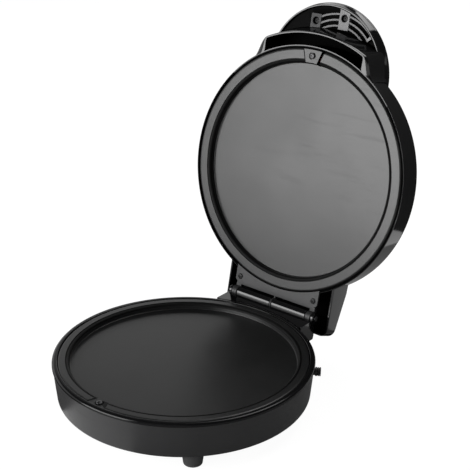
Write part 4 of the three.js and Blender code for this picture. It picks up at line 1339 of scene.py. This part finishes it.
def handle():
    """A small eased edge, then the band, which flares slowly at first, then the rounding into the top."""
    low = HANDLE_EDGE_Z + 0.8
    high = HANDLE_FLARE_Z + HANDLE_ROUNDING * math.sin(math.radians(ROUNDING_START))
    rings = [handle_ring(HANDLE_EDGE_Z, 0, 0.8), handle_ring(HANDLE_EDGE_Z + 0.25, 0, 0.25)]
    for i in range(BAND_STEPS):
        share = i / BAND_STEPS
        rings.append(handle_ring(low + (high - low) * share, BAND_SHARE * share ** 1.25))
    for out, z in arc(0, HANDLE_FLARE_Z, HANDLE_ROUNDING, ROUNDING_START, 90, 14):
        rings.append(handle_ring(z, 1, HANDLE_ROUNDING - out))
    return loft(rings)


def pocket_cone(extra):
    """A cone that fills the lid out to the pocket's wall, to keep other hollows off it."""
    high = HANDLE_TOP + 3
    low_radius = LID_RIM_RADIUS + pocket_reach(LID_RIM_Z) + extra
    high_radius = LID_RIM_RADIUS + pocket_reach(high) + extra
    return turned([(0, LID_RIM_Z), (low_radius, LID_RIM_Z), (high_radius, high), (0, high)])


def handle_room():
    inner, edge, roof = HANDLE_EDGE - HANDLE_WALL, HANDLE_EDGE_Z, HANDLE_TOP - WALL
    section = [(0, edge - 5), (inner + 0.9, edge - 5), (inner + 0.9, edge), (inner + 0.3, edge + 0.25)]
    section += [(inner, edge + 0.9), (inner, roof), (0, roof)]
    return cut(turned(section, y=HANDLE_EDGE_Y), pocket_cone(0))


print("handle reaches", HANDLE_RADIUS - HANDLE_Y - LID_RIM_RADIUS, "mm beyond the rim")

# %% [markdown]
# The tail is a box with round rear corners that widens upwards and slopes down to the back. A loft gives the
# box, and a sideways section cuts its slope. The same function with an inset gives its hollow.

# %% Lid: tail
TAIL_HALF = 91
TAIL_START = 120
TAIL_END = 221.5
TAIL_FLARE = 4
TAIL_CORNER = 12
TAIL_WALL = 3
TAIL_KNEE_Z = 97
TAIL_SLOPE = [(TAIL_END - 8, 100), (160, 113), (TAIL_START - 3, 116)]


def tail(inset, low):
    """The tail, or with an inset its hollow."""
    rings = []
    for z, grow in ((low, 0), (TAIL_KNEE_Z, TAIL_FLARE / 2), (LID_TOP, TAIL_FLARE)):
        half, end = TAIL_HALF + grow - inset, TAIL_END + grow - inset
        outline = rounded_rear(half, TAIL_START, end, TAIL_CORNER - inset, 14)
        rings.append([(x, y, z) for x, y in outline])
    body = loft(rings)
    front, back = TAIL_START - 3, TAIL_END + TAIL_FLARE + 3
    slope = [(front, low - 3), (back, low - 3), (back, TAIL_KNEE_Z - inset)]
    slope += [(y, z - inset) for y, z in TAIL_SLOPE]
    return shared_by(body, sideways(slope, -120, 120))


def upright(radius):
    """A post through the whole height of the lid."""
    return turned(post(radius, LID_RIM_Z - 6, LID_TOP + 6))


print("tail, mm wide at its foot:", 2 * TAIL_HALF)

# %% [markdown]
# Now the parts come together. First everything solid is joined, then the inside of the lid, the pocket, the
# space in the handle, the tail, the seat of the tongue and the lamps' holes are cut away, in that order.

# %% Lid shell
TONGUE_HALF = 73
TONGUE_END = 185
TONGUE_CORNER = 178
TONGUE_WALL = 3
SEAT_GAP = 0.3
LAMP_X = 12
LAMP_Y = -156
LAMP_HOLE = 4.3
TAIL_LOW = 82


def tongue_outline(grow):
    half, end = TONGUE_HALF + grow, TONGUE_END + grow
    corner = TONGUE_END - TONGUE_CORNER
    return [(-half, TAIL_START), (half, TAIL_START), (half, TONGUE_CORNER), (half - corner, end),
            (corner - half, end), (-half, TONGUE_CORNER)]


def lid_shell():
    tail_body = eased(tail(0, TAIL_LOW), 1.6, segments=4, angle=25)
    shell = joined(dome(), handle(), pocket(), cut(tail_body, upright(LID_RIM_INNER)))
    tail_hollow = cut(tail(TAIL_WALL, TAIL_LOW - 3), upright(LID_RIM_RADIUS))
    seat = slab(tongue_outline(SEAT_GAP), LID_RIM_Z - 3, LID_RIM_Z + TONGUE_WALL + SEAT_GAP)
    bore = post(LAMP_HOLE, 100, LID_TOP + 3)
    lamp_holes = [turned(bore, ROUND_STEPS, side * LAMP_X, LAMP_Y) for side in (1, -1)]
    return cut(shell, dome_room(), pocket_room(), handle_room(), tail_hollow, seat, *lamp_holes)


print("tongue's seat, mm wide:", 2 * (TONGUE_HALF + SEAT_GAP))

# %% [markdown]
# In the photograph the hollows of the lid stay black, and so does the inner rounding of its rim away from the
# front. Their faces get painted shade: the accent is a deep black with almost no shine. The test follows the
# forms above: it asks whether a face's middle lies on the rim's rounding, within the tail's walls, within the
# pocket's or within the handle's.

# %% Painted shade in the hollows
SHADED_RIM_TURN = 48
TAIL_ROOF_Z = 111.5
TAIL_ROOF_Y = 160
TAIL_ROOF_SLOPE = 0.243
HANDLE_ROOM_REACH = 240


def on_inner_rounding(middle, reach):
    return reach < LID_RIM_RADIUS - 0.7 and middle.z < LID_RIM_Z + RIM_INNER_ROUNDING + 0.2


def in_tail(middle):
    roof = TAIL_ROOF_Z - TAIL_ROOF_SLOPE * (middle.y - TAIL_ROOF_Y)
    inside = abs(middle.x) < TAIL_HALF - 1 and middle.y < TAIL_END - 1
    return inside and TAIL_LOW + 2 < middle.z < roof


def in_hollows(middle):
    """The inside of the pocket, the handle and the tail and the rim's inner rounding, all given painted
    shade.
    """
    reach = math.hypot(middle.x, middle.y)
    turn = math.degrees(math.atan2(abs(middle.x), -middle.y))
    if on_inner_rounding(middle, reach):
        return turn > SHADED_RIM_TURN
    if middle.y > TAIL_START:
        return in_tail(middle)
    if middle.y > 0 or middle.z < LID_RIM_Z + 0.7:
        return False
    room = (pocket_reach(middle.z) - 2.6) * (1 - smooth(turn, POCKET_FLAT, POCKET_INNER_FADE))
    if LID_RIM_RADIUS - 0.4 < reach < LID_RIM_RADIUS + room and turn < POCKET_INNER_FADE:
        return True
    in_handle = math.hypot(middle.x, middle.y - HANDLE_EDGE_Y) < HANDLE_EDGE - HANDLE_WALL + 0.2
    above_edge = middle.z > HANDLE_EDGE_Z + 1
    return in_handle and above_edge and LID_RIM_RADIUS + room < reach < HANDLE_ROOM_REACH


# The lid's hollows wear the painted shade black.
add_piece("lid_moulding", lid_shell(), "lid", gloss_black, "lid_shell", accents=[(painted_shade_black, in_hollows)])

# %% [markdown]
# ## Pieces on the lid
# A ribbed plate closes the handle from below. Three curved ribs run from the left tab to the right, where
# the outer two meet in a round end. A rib is a bent bar: an outline of two arcs pushed up, with its edges
# eased. Every rib is then trimmed to the handle's crescent, so that the grip drops into its handle.

# %% Grip ribs
GRIP_FLOOR_Z = 109.5
GRIP_WALL = 2
GRIP_GAP = 0.3
RIB_MIDDLE = (17, -150)
RIB_WIDTH = 3
RIB_RADII = (74, 66, 58)
RIB_START, RIB_END = -32, 46
RIB_STEPS = 40


def crescent(low, high):
    """The plan of the grip: the handle's inside, less the pocket."""
    disc = turned(post(HANDLE_EDGE - HANDLE_WALL - GRIP_GAP, low, high), y=HANDLE_EDGE_Y)
    return cut(disc, pocket_cone(GRIP_GAP))


def grip_rib(outer, inner, start, end):
    """A bent bar between two radii and two angles in degrees."""
    outline = []
    for radius, first, last in ((outer, start, end), (inner, end, start)):
        for i in range(RIB_STEPS + 1):
            x, y = polar(radius, math.radians(first + (last - first) * i / RIB_STEPS))
            outline.append((RIB_MIDDLE[0] + x, RIB_MIDDLE[1] + y))
    return eased(slab(outline, HANDLE_EDGE_Z, GRIP_FLOOR_Z + 1), 0.6, angle=50)


def grip_ribs():
    """The three ribs, and the end that joins the outer two."""
    ribs = [grip_rib(radius, radius - RIB_WIDTH, RIB_START, RIB_END) for radius in RIB_RADII]
    ribs.append(grip_rib(RIB_RADII[0], RIB_RADII[1] - RIB_WIDTH, RIB_END - 0.5, RIB_END + 2.5))
    return ribs


print("ribs:", len(RIB_RADII), "of", RIB_WIDTH, "mm")

# %% [markdown]
# Two flat tabs stand among the ribs. Each has a round well with its screw deep inside, and the well's mouth
# is chamfered. The ribs and tabs take the light, so they are painted a lighter grey as a painted highlight,
# while the floor between them gets the painted shade black.

# %% Grip plate
GRIP_TABS = {
    1: {"x": 23, "screw_y": -217.6, "near": -233.5, "far": -201.4},
    -1: {"x": -23, "screw_y": -208.4, "near": -218.5, "far": -196},
}
GRIP_TAB_HALF = 8.5
WELL_RADIUS = 5.0
WELL_MOUTH = 5.6
WELL_TOP = 109


def grip_tab(side):
    tab = GRIP_TABS[side]
    low = (tab["x"] - GRIP_TAB_HALF, tab["near"], HANDLE_EDGE_Z - 0.5)
    high = (tab["x"] + GRIP_TAB_HALF, tab["far"], GRIP_FLOOR_Z + 1)
    return eased(block(low, high), 0.7)


def grip_plate():
    top = GRIP_FLOOR_Z + GRIP_WALL
    low = HANDLE_EDGE_Z - 10
    plate_body = crescent(GRIP_FLOOR_Z, top)
    pieces = [*grip_ribs(), grip_tab(1), grip_tab(-1)]
    trimmed = [shared_by(piece, crescent(HANDLE_EDGE_Z - 3, top)) for piece in pieces]
    plate_body = joined(plate_body, *trimmed)
    well = [(0, low), (WELL_MOUTH, low), (WELL_MOUTH, HANDLE_EDGE_Z - 0.5)]
    well += [(WELL_RADIUS, HANDLE_EDGE_Z + 0.1), (WELL_RADIUS, WELL_TOP), (0, WELL_TOP)]
    tools = []
    for tab in GRIP_TABS.values():
        for section in (well, post(SCREW_HOLE, low, HANDLE_EDGE_Z + 10)):
            tools.append(turned(section, ROUND_STEPS, tab["x"], tab["screw_y"]))
    return cut(plate_body, *tools)


def on_ribs(middle):
    """The faces that fingers feel: the ribs and tabs, not the floor between them."""
    return middle.z < GRIP_FLOOR_Z - 2.5


def on_left_tab(middle):
    """The left tab, painted a darker grey than the rest of the grip as shade."""
    return on_ribs(middle) and middle.x < GRIP_TABS[-1]["x"] + GRIP_TAB_HALF + 0.1


# The grip's floor gets painted shade, its ribs a painted highlight and its left tab a darker painted shade.
add_piece("grip_moulding", grip_plate(), "lid", painted_shade_black, "grip_plate",
          accents=[(rib_highlight_grey, on_ribs), (left_tab_shade, on_left_tab)])

# %% [markdown]
# The tongue is the flat plate between the lid and the hinge, held by two screws. Three lugs on its end take
# the pin: a narrow one in the middle and a wide one outside each barrel.

# %% Tongue
TONGUE_SCREW_X = 65
TONGUE_SCREW_Y = 173


def lug(width, shift):
    """A flat arm from the tongue to the pin, with a round end."""
    left, right = shift - width / 2, shift + width / 2
    arm = block((left, TONGUE_END - 3, LID_RIM_Z), (right, hinge_y, hinge_z + LUG_RADIUS - 0.3))
    return joined(eased(arm, 0.5, segments=2), hinge_bar(LUG_RADIUS, left, right, ease=0.7))


def hinge_tongue():
    plate_body = eased(slab(tongue_outline(0), LID_RIM_Z, LID_RIM_Z + TONGUE_WALL), 0.8)
    middle = (LUG_START + LUG_END) / 2
    body = joined(plate_body, lug(LUG_WIDTH, middle), lug(LUG_WIDTH, -middle), lug(2 * MIDDLE_LUG_HALF, 0))
    tools = [turned(post(UPPER_PLATE_RADIUS + PLAY, LID_RIM_Z - 3, LID_TOP))]
    bore = post(SCREW_HOLE, LID_RIM_Z - 4, LID_RIM_Z + 6)
    for side in (1, -1):
        tools.append(turned(bore, ROUND_STEPS, side * TONGUE_SCREW_X, TONGUE_SCREW_Y))
    tools.append(hinge_bar(PIN_HOLE, -BLOCK_HALF, BLOCK_HALF, SHARP))
    return cut(body, *tools)


add_piece("hinge_tongue_moulding", hinge_tongue(), "lid", matte_black, "hinge_tongue")

# %% [markdown]
# Four screws of one pattern hold the grip and the tongue. They are driven from below, so that they face the
# viewer when the lid is open. A loop over the two sides places a pair at a time.

# %% Screws of the grip and tongue
for side, hand in (("left", -1), ("right", 1)):
    tab = GRIP_TABS[hand]
    grip_screw = screw_at(tab["x"], tab["screw_y"], GRIP_FLOOR_Z - 0.6, length=8, upwards=False)
    tongue_screw = screw_at(hand * TONGUE_SCREW_X, TONGUE_SCREW_Y, LID_RIM_Z - 0.3, upwards=False)
    add_piece(f"grip_fastener_{side}", grip_screw, "lid", black_screw, f"grip_screw_{side}")
    add_piece(f"tongue_fastener_{side}", tongue_screw, "lid", black_screw, f"tongue_screw_{side}")

# %% [markdown]
# Two small lamps sit on the handle's top, which the photograph doesn't show. Each is a short tinted rod with
# a shallow dome, spun from a section like everything round here.

# %% Lamp lenses
LENS_RADIUS = 4
LENS_LENGTH = 10.8
LENS_DOME = 1.8


def lamp_lens(x):
    """A rod that ends level with the handle's top, with its dome above."""
    section = [(0, HANDLE_TOP - LENS_LENGTH), (LENS_RADIUS, HANDLE_TOP - LENS_LENGTH)]
    for i in range(8):
        turn = i * math.pi / 16
        section.append((LENS_RADIUS * math.cos(turn), HANDLE_TOP + LENS_DOME * math.sin(turn)))
    return turned([*section, (0, HANDLE_TOP + LENS_DOME)], ROUND_STEPS, x, LAMP_Y)


add_piece("red_power_lens", lamp_lens(-LAMP_X), "lid", red_lens, "power_lamp_lens")
add_piece("green_ready_lens", lamp_lens(LAMP_X), "lid", green_lens, "ready_lamp_lens")
